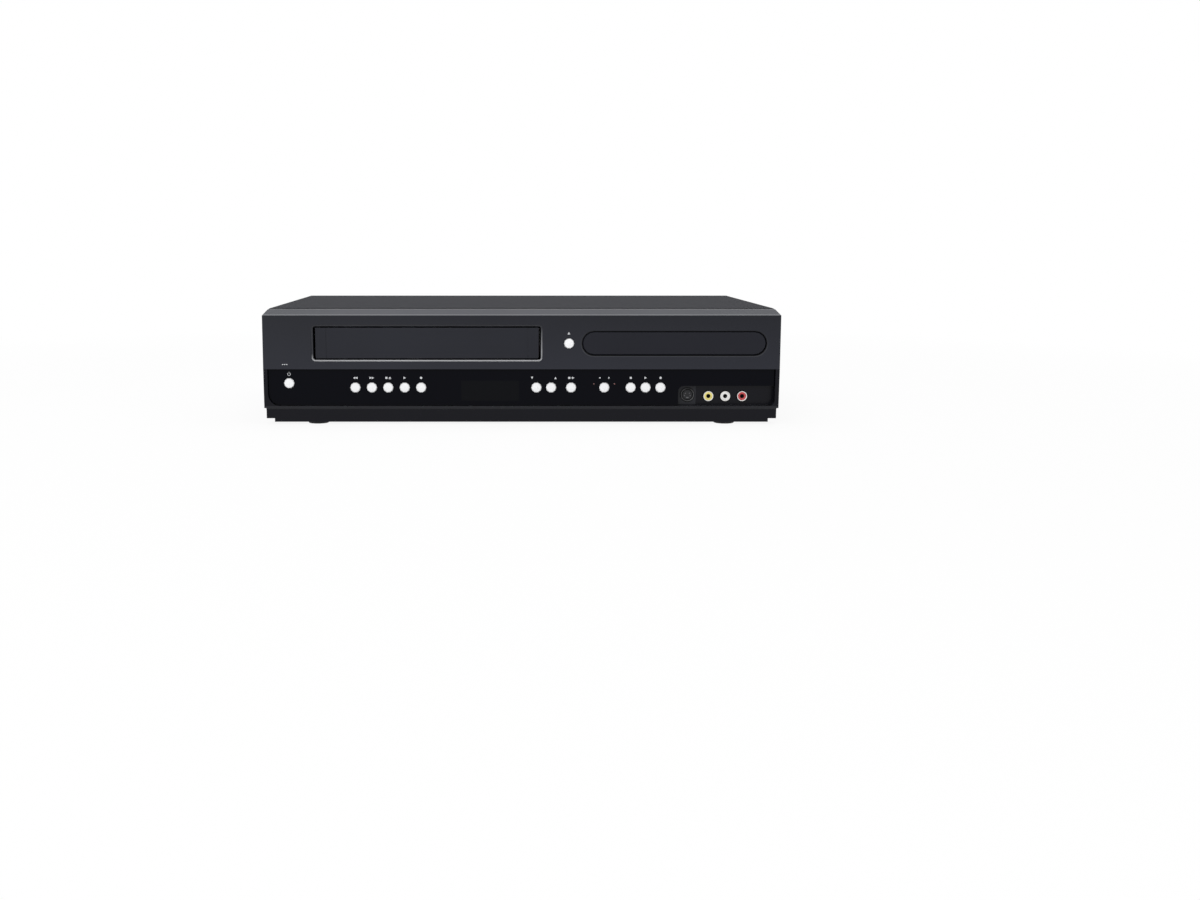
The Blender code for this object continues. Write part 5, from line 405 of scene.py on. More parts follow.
WINDOW_BLACK = (0.0011, 0.0013, 0.0034)
DISPLAY_CENTRE = (-0.0265, 0.0283)
DISPLAY_HALF = (0.0250, 0.0090)
DISPLAY_SOFTNESS = 900.0
DISPLAY_GREY = (0.0036, 0.0040, 0.0050)
MESH_PER_METRE = 2400.0

window_finish = Finish("gloss_window", WINDOW_BLACK, 0.09, Specular_IOR_Level=0.065)
window_x, _, window_z = window_finish.axes()


def inside(finish, along, centre, half):
    """1 within half of the centre, falling softly to 0 outside."""
    away = (along - centre).math("ABSOLUTE")
    return finish.node("Clamp", {"Value": (half - away) * DISPLAY_SOFTNESS})


display_mask = inside(window_finish, window_x, DISPLAY_CENTRE[0], DISPLAY_HALF[0])
display_mask = display_mask * inside(window_finish, window_z, DISPLAY_CENTRE[1], DISPLAY_HALF[1])
mesh_lines = (window_x * MESH_PER_METRE).math("SINE") * (window_z * MESH_PER_METRE).math("SINE")
display_mask = display_mask * (mesh_lines * 0.25 + 0.75)
window_finish.paint(window_finish.mix(display_mask, WINDOW_BLACK, DISPLAY_GREY))
window_finish.roughen(window_finish.noise(55.0, 5.0), 0.10, 0.05)

# %% [markdown]
# ## Sheet metal
# The cover is steel with a fine powder paint, the rear panel and the inner sheets are
# zinc-plated. Zinc shows pale crystals, so a cell texture sets a small change of tone from
# cell to cell, and a stretched noise adds the marks that rolling leaves.

# %% Painted and plated sheet
SPECKLE_SWING = 0.20
CRYSTAL_SWING = 0.16
ROLLED_STRETCH = (6.0, 40.0, 900.0)


def powder_paint(name, colour, roughness, **more):
    finish = Finish(name, colour, roughness, **more)
    speckle = finish.noise(1500.0, 3.0)
    finish.paint(finish.mix(speckle, shade(colour, 0.70), shade(colour, 1.30)))
    finish.roughen(speckle, SPECKLE_SWING, roughness - SPECKLE_SWING / 2)
    finish.bumped(speckle, 0.45, 0.00006)
    return finish


def plated(name, colour, metallic, roughness, cell=260.0, contrast=0.10):
    finish = Finish(name, colour, roughness, metallic)
    cells = finish.node("TexVoronoi", {"Vector": finish.place(), "Scale": cell}, output="Color")
    tone = finish.node("RGBToBW", {"Color": cells})
    stretch = finish.node("Mapping", {"Vector": finish.place(), "Scale": ROLLED_STRETCH})
    rolled = finish.noise(1.0, 2.0, stretch)
    share = tone * 0.6 + rolled * 0.4
    finish.paint(finish.mix(share, shade(colour, 1 - contrast), shade(colour, 1 + contrast)))
    finish.roughen(share, CRYSTAL_SWING, roughness - CRYSTAL_SWING / 2)
    finish.bumped(share, 0.08, 0.00004)
    return finish


cover_paint = powder_paint("cover_powder_paint", (0.0255, 0.0262, 0.0310), 0.72, Specular_IOR_Level=0.04)
zinc_panel = plated("pale_zinc_panel", (0.42, 0.475, 0.545), 0.25, 0.42, contrast=0.06)
zinc_sheet = plated("zinc_sheet", (0.62, 0.64, 0.66), 0.85, 0.36)
dull_sheet = plated("dull_carriage_sheet", (0.22, 0.22, 0.23), 0.7, 0.46)
tin_shell = plated("tin_shell", (0.66, 0.66, 0.65), 0.95, 0.26, cell=600.0)

# %% [markdown]
# ## Machined metal
# Turned parts carry rings from the tool. The distance from the part's own axis, taken with a
# Mapping node that brings the axis to the origin, drives a fine wave in the roughness.

# %% Turned metal
RING_SWING = 0.14
RING_LEAST = 0.04


def turned_metal(name, colour, axis_place, roughness):
    finish = Finish(name, colour, roughness, 1.0)
    shift = tuple(-c for c in axis_place)
    centred = finish.node("Mapping", {"Vector": finish.place(), "Location": shift})
    rings = finish.node(
        "TexWave",
        {"Vector": centred, "Scale": 900.0, "Distortion": 0.6, "Detail": 1.0},
        output="Fac",
        wave_type="RINGS",
        rings_direction="Z",
    )
    finish.roughen(rings, RING_SWING, roughness - RING_LEAST)
    finish.paint(finish.mix(rings, shade(colour, 0.90), colour))
    finish.bumped(rings, 0.04, 0.00001)
    return finish


def middle(node):
    low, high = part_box(node)
    return (low + high) / 2


drum_metal = turned_metal("turned_drum_metal", (0.60, 0.61, 0.63), middle("head_drum"), 0.36)
capstan_metal = turned_metal("turned_capstan_metal", (0.60, 0.60, 0.62), middle("capstan"), 0.16)
pin_metal = Finish("bright_pin_metal", (0.78, 0.77, 0.74), 0.20, 1.0)
pin_metal.roughen(pin_metal.noise(700.0), 0.18, 0.10)
gold_metal = Finish("contact_gold", (0.83, 0.62, 0.26), 0.24, 1.0)
gold_metal.roughen(gold_metal.noise(900.0), 0.16, 0.14)

# %% [markdown]
# ## Circuit boards
# Each board is one solid with the larger parts on it. Height tells them apart: up to the top
# of the board it is green lacquer over copper tracks, and above that each part takes a tone
# from a coarse cell texture.

# %% Boards and the transformer
BOARD_THICKNESS = 0.0016
LACQUER_MARGIN = 0.0002
LACQUER = (0.018, 0.105, 0.042)
TRACK = (0.035, 0.17, 0.070)
PART_DARK = (0.012, 0.012, 0.014)
PART_PALE = (0.12, 0.13, 0.17)


def circuit_board(name, across, start, upwards):
    """Green where the board is, and dark parts on the side that they stand on."""
    finish = Finish(name, LACQUER, 0.35)
    along = finish.axes()[across]
    if upwards:
        past = along > start + BOARD_THICKNESS + LACQUER_MARGIN
    else:
        past = along < start - LACQUER_MARGIN
    tracks = finish.node("TexVoronoi", {"Vector": finish.place(), "Scale": 420.0}, distance="MANHATTAN")
    lacquer = finish.mix(tracks > 0.45, LACQUER, TRACK)
    cells = finish.node("TexVoronoi", {"Vector": finish.place(), "Scale": 60.0}, output="Color")
    tone = finish.node("RGBToBW", {"Color": cells})
    parts = finish.mix(tone > 0.62, PART_DARK, PART_PALE)
    finish.paint(finish.mix(past, lacquer, parts))
    finish.bumped(tracks, 0.15, 0.00005)
    return finish


boards = {}
for name in ("main_board", "power_board", "digital_board"):
    boards[name] = circuit_board(f"{name}_lacquer", 2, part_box(name)[0].z, True)
board_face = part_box("front_board")[1].y - BOARD_THICKNESS
boards["front_board"] = circuit_board("front_board_lacquer", 1, board_face, False)

core_varnish = Finish("varnished_core", (0.035, 0.030, 0.026), 0.40)
core_layers = core_varnish.node(
    "TexWave",
    {"Vector": core_varnish.place(), "Scale": 320.0, "Distortion": 0.2},
    output="Fac",
    bands_direction="X",
)
core_varnish.paint(core_varnish.mix(core_layers, (0.022, 0.019, 0.017), (0.075, 0.066, 0.060)))
core_varnish.bumped(core_layers, 0.5, 0.0001)

# %% [markdown]
# ## Giving each solid its finish
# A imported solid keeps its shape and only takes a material. Listing the solids by finish keeps
# the choice in one place, and the count at the end shows that none was left out.

# %% Dress the solids
dressed = {
    front_plastic: ["front_panel"],
    door_plastic: ["vcr_door"],
    tray_front_plastic: ["tray_front"],
    key_plastic: [name for name in solids if name.startswith("button_")],
    window_finish: ["control_window", "display_module"],
    cover_paint: ["top_cover"],
    zinc_panel: ["rear_panel", "foot_rear_left", "foot_rear_right"],
    zinc_sheet: ["chassis_base", "vcr_deck", "clamp_bridge"],
    dull_sheet: ["carriage_frame", "cassette_carriage"],
    tin_shell: ["hdmi_socket", "coax_jack"],
    drum_metal: ["head_drum", "drum_base"],
    capstan_metal: ["capstan"],
    tray_plastic: ["disc_tray", "drive_base", "turntable", "laser_sled"],
    pale_plastic: ["tray_gear", "disc_clamper"],
    grey_plastic: ["supply_reel", "takeup_reel"],
    fan_plastic: ["fan_frame", "fan_rotor"],
    rubber: ["pinch_roller_arm"],
    core_varnish: ["transformer"],
}
for name, finish in boards.items():
    dressed[finish] = [name]
listed = {name for names in dressed.values() for name in names}
dressed[dark_plastic] = sorted(set(solids) - listed)

for finish, names in dressed.items():
    for name in names:
        mesh = solids[name].data
        mesh.materials.clear()
        mesh.materials.append(finish.material)
print("dressed", sum(len(names) for names in dressed.values()), "dark plastic", dressed[dark_plastic])

# %% [markdown]
# ## Helpers for the added pieces
# Each added piece is drawn lying flat, where widths and heights are easy to read, and then
# stood up against the front or the back. A ray finds the surface that it lies on, so a piece
# follows the solid even where the front leans.

# %% Places on the front and the back
FACE_FRONT = Matrix.Rotation(math.radians(90), 4, "X")
FACE_BACK = Matrix.Rotation(math.radians(180), 4, "Z") @ FACE_FRONT
AWAY = 0.6


def surface(node, x, z, back=False):
    """The Y of a solid's outer face, looked at from the front or from the back."""
    side = 1 if back else -1
    found, place, _, _ = solids[node].ray_cast(Vector((x, side * AWAY, z)), Vector((0, -side, 0)))
    if not found:
        raise ValueError(f"nothing of {node} at {x}, {z}")
    return place.y


def stand(x, y, z, back=False):
    """Takes a flat drawing to its place: its X across, its Y up, its Z outwards."""
    return Matrix.Translation((x, y, z)) @ (FACE_BACK if back else FACE_FRONT)


def finished(name, bm, body, finish, tidy=True):
    """Makes the piece from its bmesh, on a body."""
    if tidy:
        bmesh.ops.remove_doubles(bm, verts=bm.verts, dist=1e-6)
        bmesh.ops.recalc_face_normals(bm, faces=bm.faces)
    mesh = bpy.data.meshes.new(name)
    bm.to_mesh(mesh)
    bm.free()
    piece = bpy.data.objects.new(name, mesh)
    bpy.context.scene.collection.objects.link(piece)
    mesh.materials.append(finish.material)
    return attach(piece, body)


def polygon(bm, sides, centre, wide, tall, turn=0.0):
    """A flat regular shape, turned and then fitted to a width and a height."""
    made = bmesh.ops.create_circle(bm, cap_ends=True, segments=sides, radius=1.0)["verts"]
    bmesh.ops.rotate(bm, verts=made, matrix=Matrix.Rotation(math.radians(turn), 3, "Z"))
    xs = [v.co.x for v in made]
    ys = [v.co.y for v in made]
    across, upright = max(xs) - min(xs), max(ys) - min(ys)
    middle_x, middle_y = (max(xs) + min(xs)) / 2, (max(ys) + min(ys)) / 2
    for v in made:
        v.co.x = centre[0] + (v.co.x - middle_x) * wide / across
        v.co.y = centre[1] + (v.co.y - middle_y) * tall / upright
    return made


def raised(bm, thickness):
    """Gives every flat face a thickness, outwards."""
    flat = list(bm.faces)
    bmesh.ops.recalc_face_normals(bm, faces=flat)
    for face in flat:
        if face.normal.z > 0:
            face.normal_flip()
    made = bmesh.ops.extrude_face_region(bm, geom=flat)["geom"]
    tops = [g for g in made if isinstance(g, bmesh.types.BMVert)]
    bmesh.ops.translate(bm, verts=tops, vec=(0, 0, thickness))


def rounded(bm, verts, corner, segments):
    """Rounds the corners of a flat shape."""
    settings = {"segments": segments, "profile": 0.5, "affect": "VERTICES", "material": -1}
    bmesh.ops.bevel(bm, geom=verts, offset=corner, **settings)


def gathered(bm, matrix, draw):
    """Draws one more part in a bmesh and moves only that part."""
    before = set(bm.verts)
    draw(bm)
    added = [v for v in bm.verts if v not in before]
    bmesh.ops.transform(bm, matrix=matrix, verts=added)


SQUARE_TURN = 45.0
ROUND_SIDES = 24
INK = 0.00008

# %% [markdown]
# ## Symbols above the keys
# The keys are told apart by the usual marks for playing, stopping, recording, winding and
# ejecting. Each is a few flat shapes a hair thick, printed on the window in pale grey.

# %% Draw the symbols
ink = Finish("pale_ink", (0.62, 0.63, 0.65), 0.55)
ink.paint(ink.mix(ink.noise(2600.0), (0.52, 0.53, 0.55), (0.70, 0.71, 0.73)))
dark_ink = Finish("dark_ink", (0.035, 0.04, 0.055), 0.6)
dark_ink.paint(dark_ink.mix(dark_ink.noise(1800.0), (0.028, 0.032, 0.045), (0.060, 0.066, 0.085)))

POINT_LEFT = 90.0
POINT_RIGHT = -90.0
POINT_UP = 0.0
POINT_DOWN = 180.0
MARK = 0.0021


def triangle(x, turn, size=MARK, y=0.0):
    return (3, (x, y), size * 0.92, size, turn)


def square(x, size=MARK * 0.82, y=0.0, tall=None):
    return (4, (x, y), size, tall or size, SQUARE_TURN)


def disc(x, size=MARK * 0.95, y=0.0):
    return (ROUND_SIDES, (x, y), size, size, 0.0)


def eject(x):
    return [(3, (x, 0.0003), MARK, MARK * 0.6, POINT_UP), (4, (x, -0.0008), MARK, MARK * 0.2, SQUARE_TURN)]


HALF_STEP = MARK * 0.46
SYMBOL_HEIGHT = 0.0392
CLEAR_OF_KEYS = 0.0016
SMALL_MARK = 0.0015
copy_marks = [square(-0.0016), square(0, 0.0013, tall=0.0003), triangle(0.0018, POINT_RIGHT)]
source_marks = [triangle(-0.0040, POINT_LEFT, SMALL_MARK), triangle(0.0040, POINT_RIGHT, SMALL_MARK)]
symbols = {
    "symbol_rewind": (-0.1404, [triangle(-HALF_STEP, POINT_LEFT), triangle(HALF_STEP, POINT_LEFT)]),
    "symbol_forward": (-0.1265, [triangle(-HALF_STEP, POINT_RIGHT), triangle(HALF_STEP, POINT_RIGHT)]),
    "symbol_tape_stop_eject": (-0.1126, [square(-0.0015), *eject(0.0014)]),
    "symbol_tape_play": (-0.0987, [triangle(0, POINT_RIGHT)]),
    "symbol_tape_record": (-0.0848, [disc(0)]),
    "symbol_channel_down": (0.0090, [triangle(0, POINT_DOWN)]),
    "symbol_channel_up": (0.0288, [triangle(0, POINT_UP)]),
    "symbol_copy": (0.0420, copy_marks),
    "symbol_source": (0.0701, source_marks),
    "symbol_disc_stop": (0.0924, [square(0)]),
    "symbol_disc_play": (0.1050, [triangle(0, POINT_RIGHT)]),
    "symbol_disc_record": (0.1176, [disc(0)]),
}


def printed(name, node, x, z, shapes, ray_lift=0.0):
    """Marks in pale ink on a face of the front."""
    bm = bmesh.new()
    for sides, centre, wide, tall, turn in shapes:
        polygon(bm, sides, centre, wide, tall, turn)
    raised(bm, INK)
    bm.transform(stand(x, surface(node, x, z + ray_lift), z))
    finished(name, bm, "case", ink)


for name, (x, shapes) in symbols.items():
    printed(name, "control_window", x, SYMBOL_HEIGHT, shapes, CLEAR_OF_KEYS)
print("symbols", len(symbols))

# %% [markdown]
# ## The power and tray symbols, and the tape light
# The power mark is an open ring with a bar. Two circles bridged together make a ring without
# working out any vertex, and the top of the ring is left out to make room for the bar.

# %% Ring, bar and the marks on the front itself
POWER_MARK = (-0.1963, 0.0424)
POWER_OUTER = 0.0014
POWER_INNER = 0.0011
POWER_OPEN_ABOVE = 0.0010
BAR_WIDE = 0.0003
BAR_TALL = 0.0014

power = bmesh.new()
ring_edges = []
for radius in (POWER_OUTER, POWER_INNER):
    circle = bmesh.ops.create_circle(power, segments=ROUND_SIDES, radius=radius)["verts"]
    ring_edges += {edge for v in circle for edge in v.link_edges}
bmesh.ops.bridge_loops(power, edges=ring_edges)
top_faces = [f for f in power.faces if f.calc_center_median().y > POWER_OPEN_ABOVE]
bmesh.ops.delete(power, geom=top_faces, context="FACES")
polygon(power, 4, (0, POWER_INNER), BAR_WIDE, BAR_TALL, SQUARE_TURN)
raised(power, INK)
power.transform(stand(POWER_MARK[0], surface("control_window", *POWER_MARK), POWER_MARK[1]))
finished("symbol_power", power, "case", ink)

TRAY_MARK = (0.0397, 0.0770)
DASHES = (-0.2010, 0.0508)
DASH_PITCH = 0.0017
dash_marks = [square(n * DASH_PITCH, 0.0011, tall=0.0006) for n in range(3)]
printed("symbol_tray", "front_panel", *TRAY_MARK, eject(0))
printed("light_marks", "front_panel", *DASHES, dash_marks)

# %% [markdown]
# ## Small lights
# Two lights beside the source key say which side is in use. Each is a low clear dome. A spin
# of a short curve gives the dome, and the colour stays dark, because the picture has them off.

# %% Two dark lights
light_plastic = Finish("dark_red_light", (0.09, 0.012, 0.010), 0.15, Coat_Weight=0.6)
light_mottle = light_plastic.noise(1200.0)
light_plastic.paint(light_plastic.mix(light_mottle, (0.06, 0.008, 0.007), (0.13, 0.018, 0.014)))


def lathe(bm, profile, steps=ROUND_SIDES):
    """Spins a profile of radius and height pairs round the local Z axis."""
    corners = [bm.verts.new((radius, 0, height)) for radius, height in profile]
    edges = [bm.edges.new(pair) for pair in zip(corners, corners[1:])]
    bmesh.ops.spin(
        bm,
        geom=corners + edges,
        cent=(0, 0, 0),
        axis=(0, 0, 1),
        angle=math.tau,
        steps=steps,
        use_merge=True,
    )


LIGHT_HEIGHT = 0.0341
LIGHT_PLACES = (0.0613, 0.0787)
DOME = [(0.0007, 0), (0.00063, 0.00016), (0.00035, 0.00028), (0, 0.00032)]
for n, x in enumerate(LIGHT_PLACES):
    dome = bmesh.new()
    lathe(dome, DOME, 16)
    dome.transform(stand(x, surface("control_window", x, LIGHT_HEIGHT), LIGHT_HEIGHT))
    finished(f"source_light_{n}", dome, "case", light_plastic)

# %% [markdown]
# ## Coloured sockets
# A phono socket is told by its colour: yellow for the picture, white and red for the sound,
# green, blue and red for the component signals. A bright nickel shell covers the barrel, and
# the coloured core sits in it round the dark hole. Both are spun from short profiles, and the
# shells of one side are gathered in one piece.

# %% Colours of the sockets
def coloured(name, colour):
    finish = Finish(name, colour, 0.32, Coat_Weight=0.25)
    tone = finish.noise(500.0, 3.0)
    finish.paint(finish.mix(tone, shade(colour, 0.88), shade(colour, 1.06)))
    finish.bumped(finish.noise(2400.0), 0.12, 0.00002)
    return finish


socket_yellow = coloured("socket_yellow", (0.80, 0.69, 0.20))
socket_white = coloured("socket_white", (0.82, 0.82, 0.80))
socket_red = coloured("socket_red", (0.50, 0.040, 0.045))
socket_green = coloured("socket_green", (0.035, 0.32, 0.10))
socket_blue = coloured("socket_blue", (0.030, 0.11, 0.48))
socket_black = coloured("socket_black", (0.020, 0.020, 0.022))

SHELL_OUTER = 0.00435
SHELL_INNER = 0.0034
HOLE_RADIUS = 0.0018
SOCKET_STEPS = 28
shell_metal = Finish("pale_nickel", (0.80, 0.79, 0.77), 0.26, 1.0)
shell_metal.paint(shell_metal.mix(shell_metal.noise(420.0, 3.0), (0.72, 0.71, 0.69), (0.86, 0.85, 0.83)))
shell_metal.roughen(shell_metal.noise(900.0), 0.16, 0.18)


def phono(name, x, z, tip, back, finish, shells, reach):
    """The coloured core of one socket, and its bright shell, which joins the others."""
    core = bmesh.new()
    profile = [(SHELL_INNER, -0.0003), (SHELL_INNER, 0.00010), (SHELL_INNER - 0.0002, 0.00022)]
    profile += [(HOLE_RADIUS + 0.0003, 0.00022), (HOLE_RADIUS, 0.0), (HOLE_RADIUS, -0.0020)]
    lathe(core, profile, SOCKET_STEPS)
    bmesh.ops.recalc_face_normals(core, faces=core.faces)
    core.transform(stand(x, tip, z, back))
    finished(name, core, "case", finish)
    profile = [(SHELL_OUTER, -reach), (SHELL_OUTER, 0.0), (SHELL_OUTER - 0.0002, 0.0003)]
    profile += [(SHELL_INNER + 0.0002, 0.0003), (SHELL_INNER, 0.0001), (SHELL_INNER, -0.0003)]
    gathered(shells, stand(x, tip, z, back), lambda bm: lathe(bm, profile, SOCKET_STEPS))


def tip_of(node, back):
    low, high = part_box(node)
    return high.y if back else low.y


# %% Sockets of the front and the back
FRONT_SOCKETS = (
    ("yellow", 0.1587, socket_yellow),
    ("white", 0.1730, socket_white),
    ("red", 0.1873, socket_red),
)
FRONT_SOCKET_HEIGHT = 0.0234
FRONT_REACH = 0.0030
REAR_REACH = 0.0060
front_shells = bmesh.new()
front_tip = tip_of("front_av_jacks", False)
for word, x, finish in FRONT_SOCKETS:
    name = f"front_{word}_core"
    phono(name, x, FRONT_SOCKET_HEIGHT, front_tip, False, finish, front_shells, FRONT_REACH)
finished("front_socket_shells", front_shells, "case", shell_metal)

ROWS = [0.0250 + n * 0.0150 for n in range(3)]
columns = {
    "audio_out_jacks": (-0.0805, (socket_red, socket_white)),
    "component_jacks": (-0.1158, (socket_red, socket_blue, socket_green)),
    "av_in_jacks": (-0.1530, (socket_yellow, socket_red, socket_white)),
    "av_out_jacks": (-0.1697, (socket_yellow, socket_red, socket_white)),
    "coax_jack": (-0.0650, (socket_black,)),
}
rear_shells = bmesh.new()
for node, (x, finishes) in columns.items():
    for n, (z, finish) in enumerate(zip(ROWS, finishes)):
        phono(f"{node}_core_{n}", x, z, tip_of(node, True), True, finish, rear_shells, REAR_REACH)
finished("rear_socket_shells", rear_shells, "case", shell_metal)
print("phono sockets", len(FRONT_SOCKETS) + sum(len(f) for _, f in columns.values()))

# %% [markdown]
# ## Round video sockets
# Inside its dull metal ring this socket has a black face with four round contacts and a slot
# that keys the plug. The contacts are thin worn marks on the face.

# %% Faces of the round video sockets
CONTACT_PLACES = ((-0.0017, 0.0012), (0.0017, 0.0012), (-0.0024, -0.0008), (0.0024, -0.0008))
CONTACT_SIZE = 0.0009
KEYWAY_PLACE = (0, -0.0024)
KEYWAY_WIDE = 0.0022
RING_PROFILE = [(0.0050, -0.002), (0.0050, 0.0004), (0.0053, 0.0006), (0.0056, 0.0004), (0.0056, -0.0004)]
socket_height = {"front_svideo_jack": 0.0243, "svideo_out_jack": 0.0211, "svideo_in_jack": 0.0211}
dull_shell = Finish("dull_nickel", (0.12, 0.12, 0.125), 0.42, 0.8)
dull_shell.roughen(dull_shell.noise(700.0), 0.2, 0.32)


def round_socket(name, node, back):
    """The ring and the contacts on the face of one round socket."""
    low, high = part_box(node)
    x = (low.x + high.x) / 2
    z = socket_height[node]
    place = stand(x, surface(node, x, z, back), z, back)
    shell = bmesh.new()
    lathe(shell, RING_PROFILE, 32)
    shell.transform(place)
    finished(f"{name}_shell", shell, "case", dull_shell)
    marks = bmesh.new()
    for centre in CONTACT_PLACES:
        polygon(marks, 12, centre, CONTACT_SIZE, CONTACT_SIZE)
    polygon(marks, 4, KEYWAY_PLACE, KEYWAY_WIDE, CONTACT_SIZE, SQUARE_TURN)
    raised(marks, INK)
    marks.transform(place)
    finished(f"{name}_contacts", marks, "case", dull_shell)


round_socket("front_video", "front_svideo_jack", False)
round_socket("video_out", "svideo_out_jack", True)
round_socket("video_in", "svideo_in_jack", True)

# %% [markdown]
# ## Screws
# Cross-head screws hold the sheets and the socket blocks. One head is made, a Boolean cuts its
# cross, and copies of the finished mesh are gathered into a single piece.

# %% Make one screw head
SCREW_RADIUS = 0.0029
SCREW_TALL = 0.0014
SCREW_FOOT = -0.0004
SCREW_TURN = 37
screw_metal = plated("dark_screw_zinc", (0.11, 0.11, 0.12), 0.8, 0.34, cell=900.0)
black_screw = plated("black_screw", (0.045, 0.045, 0.05), 0.7, 0.34, cell=900.0)


def screw_head():
    """A pan head with a cross cut in it, as a mesh in its flat place."""
    bm = bmesh.new()
    rim, crown = SCREW_RADIUS, SCREW_TALL
    profile = [(0, SCREW_FOOT), (rim, SCREW_FOOT), (rim, crown * 0.45)]
    profile += [(rim * 0.82, crown * 0.82), (rim * 0.4, crown), (0, crown)]
    lathe(bm, profile)
    bmesh.ops.remove_doubles(bm, verts=bm.verts, dist=1e-7)
    bmesh.ops.recalc_face_normals(bm, faces=bm.faces)
    head = bpy.data.meshes.new("screw_head")
    bm.to_mesh(head)
    bm.free()
    cutter = bmesh.new()
    for turn in (0, 90):
        arm = bmesh.ops.create_cube(cutter, size=1.0)["verts"]
        bmesh.ops.scale(cutter, verts=arm, vec=(rim * 1.15, rim * 0.26, crown))
        bmesh.ops.translate(cutter, verts=arm, vec=(0, 0, crown * 1.05))
        bmesh.ops.rotate(cutter, verts=arm, matrix=Matrix.Rotation(math.radians(turn), 3, "Z"))
    cross = bpy.data.meshes.new("screw_cross")
    cutter.to_mesh(cross)
    cutter.free()
    holder = bpy.data.objects.new("screw_head", head)
    tool = bpy.data.objects.new("screw_cross", cross)
    for obj in (holder, tool):
        bpy.context.scene.collection.objects.link(obj)
    cut = holder.modifiers.new("cross", "BOOLEAN")
    cut.operation = "DIFFERENCE"
    cut.solver = "EXACT"
    cut.use_self = True
    cut.object = tool
    bpy.context.view_layer.update()
    graph = bpy.context.evaluated_depsgraph_get()
    made = bpy.data.meshes.new_from_object(holder.evaluated_get(graph))
    bpy.data.objects.remove(holder)
    bpy.data.objects.remove(tool)
    return made


head_mesh = screw_head()
print("screw head faces", len(head_mesh.polygons))


def screws(name, places, node, body, finish, size=1.0, turn=0.0):
    """Copies of the head at each X and Z of the back."""
    bm = bmesh.new()
    for n, (x, z) in enumerate(places):
        spin = Matrix.Rotation(math.radians(turn + SCREW_TURN * n), 4, "Z")
        place = stand(x, surface(node, x, z, True), z, True) @ spin @ Matrix.Scale(size, 4)
        gathered(bm, place, lambda whole: whole.from_mesh(head_mesh))
    return finished(name, bm, body, finish, tidy=False)


PANEL_SCREWS = ((0.2040, 0.0203), (0.0578, 0.0672), (-0.0092, 0.0675), (0.0245, 0.0237), (-0.0009, 0.0102))
PANEL_SCREWS += ((-0.2028, 0.0217), (0.1238, 0.0754))
JACK_SCREWS = (
    (-0.0869, 0.0329),
    (-0.0982, 0.0317),
    (-0.1226, 0.0474),
    (-0.1352, 0.0319),
    (-0.1613, 0.0474),
)
JACK_SCREWS += ((-0.1775, 0.0475),)
COVER_SCREWS = ((-0.0115, 0.0923), (-0.1267, 0.0926), (0.2105, 0.0517), (-0.2105, 0.0517))
screws("panel_screws", PANEL_SCREWS, "rear_panel", "case", screw_metal)
screws("jack_screws", JACK_SCREWS, "rear_panel", "case", screw_metal, 0.72, 20)
screws("cover_screws", COVER_SCREWS, "top_cover", "case", black_screw)

# %% [markdown]
# ## The fan's rivets and a disc of painted shade
# Four bright rivets hold the fan, and a thin black disc of painted shade lies between it and the
# panel. It stops a line of sight through the whole player, and a fine crossed ripple runs
# through its colour.

# %% Rivets of the fan
FAN_MIDDLE = (0.0243, 0.0576)
FAN_RIVET_REACH = 0.0246
CLEAR_OF_VENTS = 0.0026
RIVET = [(0.0019, -0.0002), (0.0019, 0.0002), (0.0016, 0.0005)]
RIVET += [(0.0008, 0.0005), (0.0006, 0.0002), (0, 0.0002)]
rivets = bmesh.new()
for side in (-1, 1):
    for end in (-1, 1):
        x, z = FAN_MIDDLE[0] + side * FAN_RIVET_REACH, FAN_MIDDLE[1] + end * FAN_RIVET_REACH
        wall = surface("rear_panel", x + side * CLEAR_OF_VENTS, z, True)
        gathered(rivets, stand(x, wall, z, True), lambda bm: lathe(bm, RIVET))
finished("fan_rivets", rivets, "case", shell_metal)

# %% Disc of painted shade between the fan and the panel
SHADE_DISC_RADIUS = 0.0295
SHADE_DISC_THICKNESS = 0.0002
SHADE_DISC_CLEARANCE = 0.00004
RIPPLE_PER_METRE = 6000.0
# Painted shade: a black disc that stops the sight through the fan, with a fine ripple in its colour.
shade_disc_finish = Finish("black_painted_shade_disc", (0.007, 0.007, 0.008), 0.9, Specular_IOR_Level=0.1)
disc_x, _, disc_z = shade_disc_finish.axes()
shade_ripple = (disc_x * RIPPLE_PER_METRE).math("SINE") * (disc_z * RIPPLE_PER_METRE).math("SINE")
shade_disc_finish.paint(shade_disc_finish.mix(shade_ripple * 0.5 + 0.5, (0.004, 0.004, 0.005), (0.010, 0.010, 0.011)))
shade_disc = bmesh.new()
polygon(shade_disc, 48, (0, 0), SHADE_DISC_RADIUS * 2, SHADE_DISC_RADIUS * 2)
raised(shade_disc, SHADE_DISC_THICKNESS)
shade_disc.transform(stand(FAN_MIDDLE[0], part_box("fan_frame")[1].y + SHADE_DISC_CLEARANCE, FAN_MIDDLE[1], True))
finished("fan_shade_disc", shade_disc, "case", shade_disc_finish)

# %% [markdown]
# ## Printing on the rear panel
# Thin dark lines group the sockets. A line is one flat rectangle, and the rounded box round
# them all is a rounded rectangle with its middle inset away.

# %% Rule the lines
LINE = 0.00035
PANEL_PLACE = (-0.06, 0.0640)


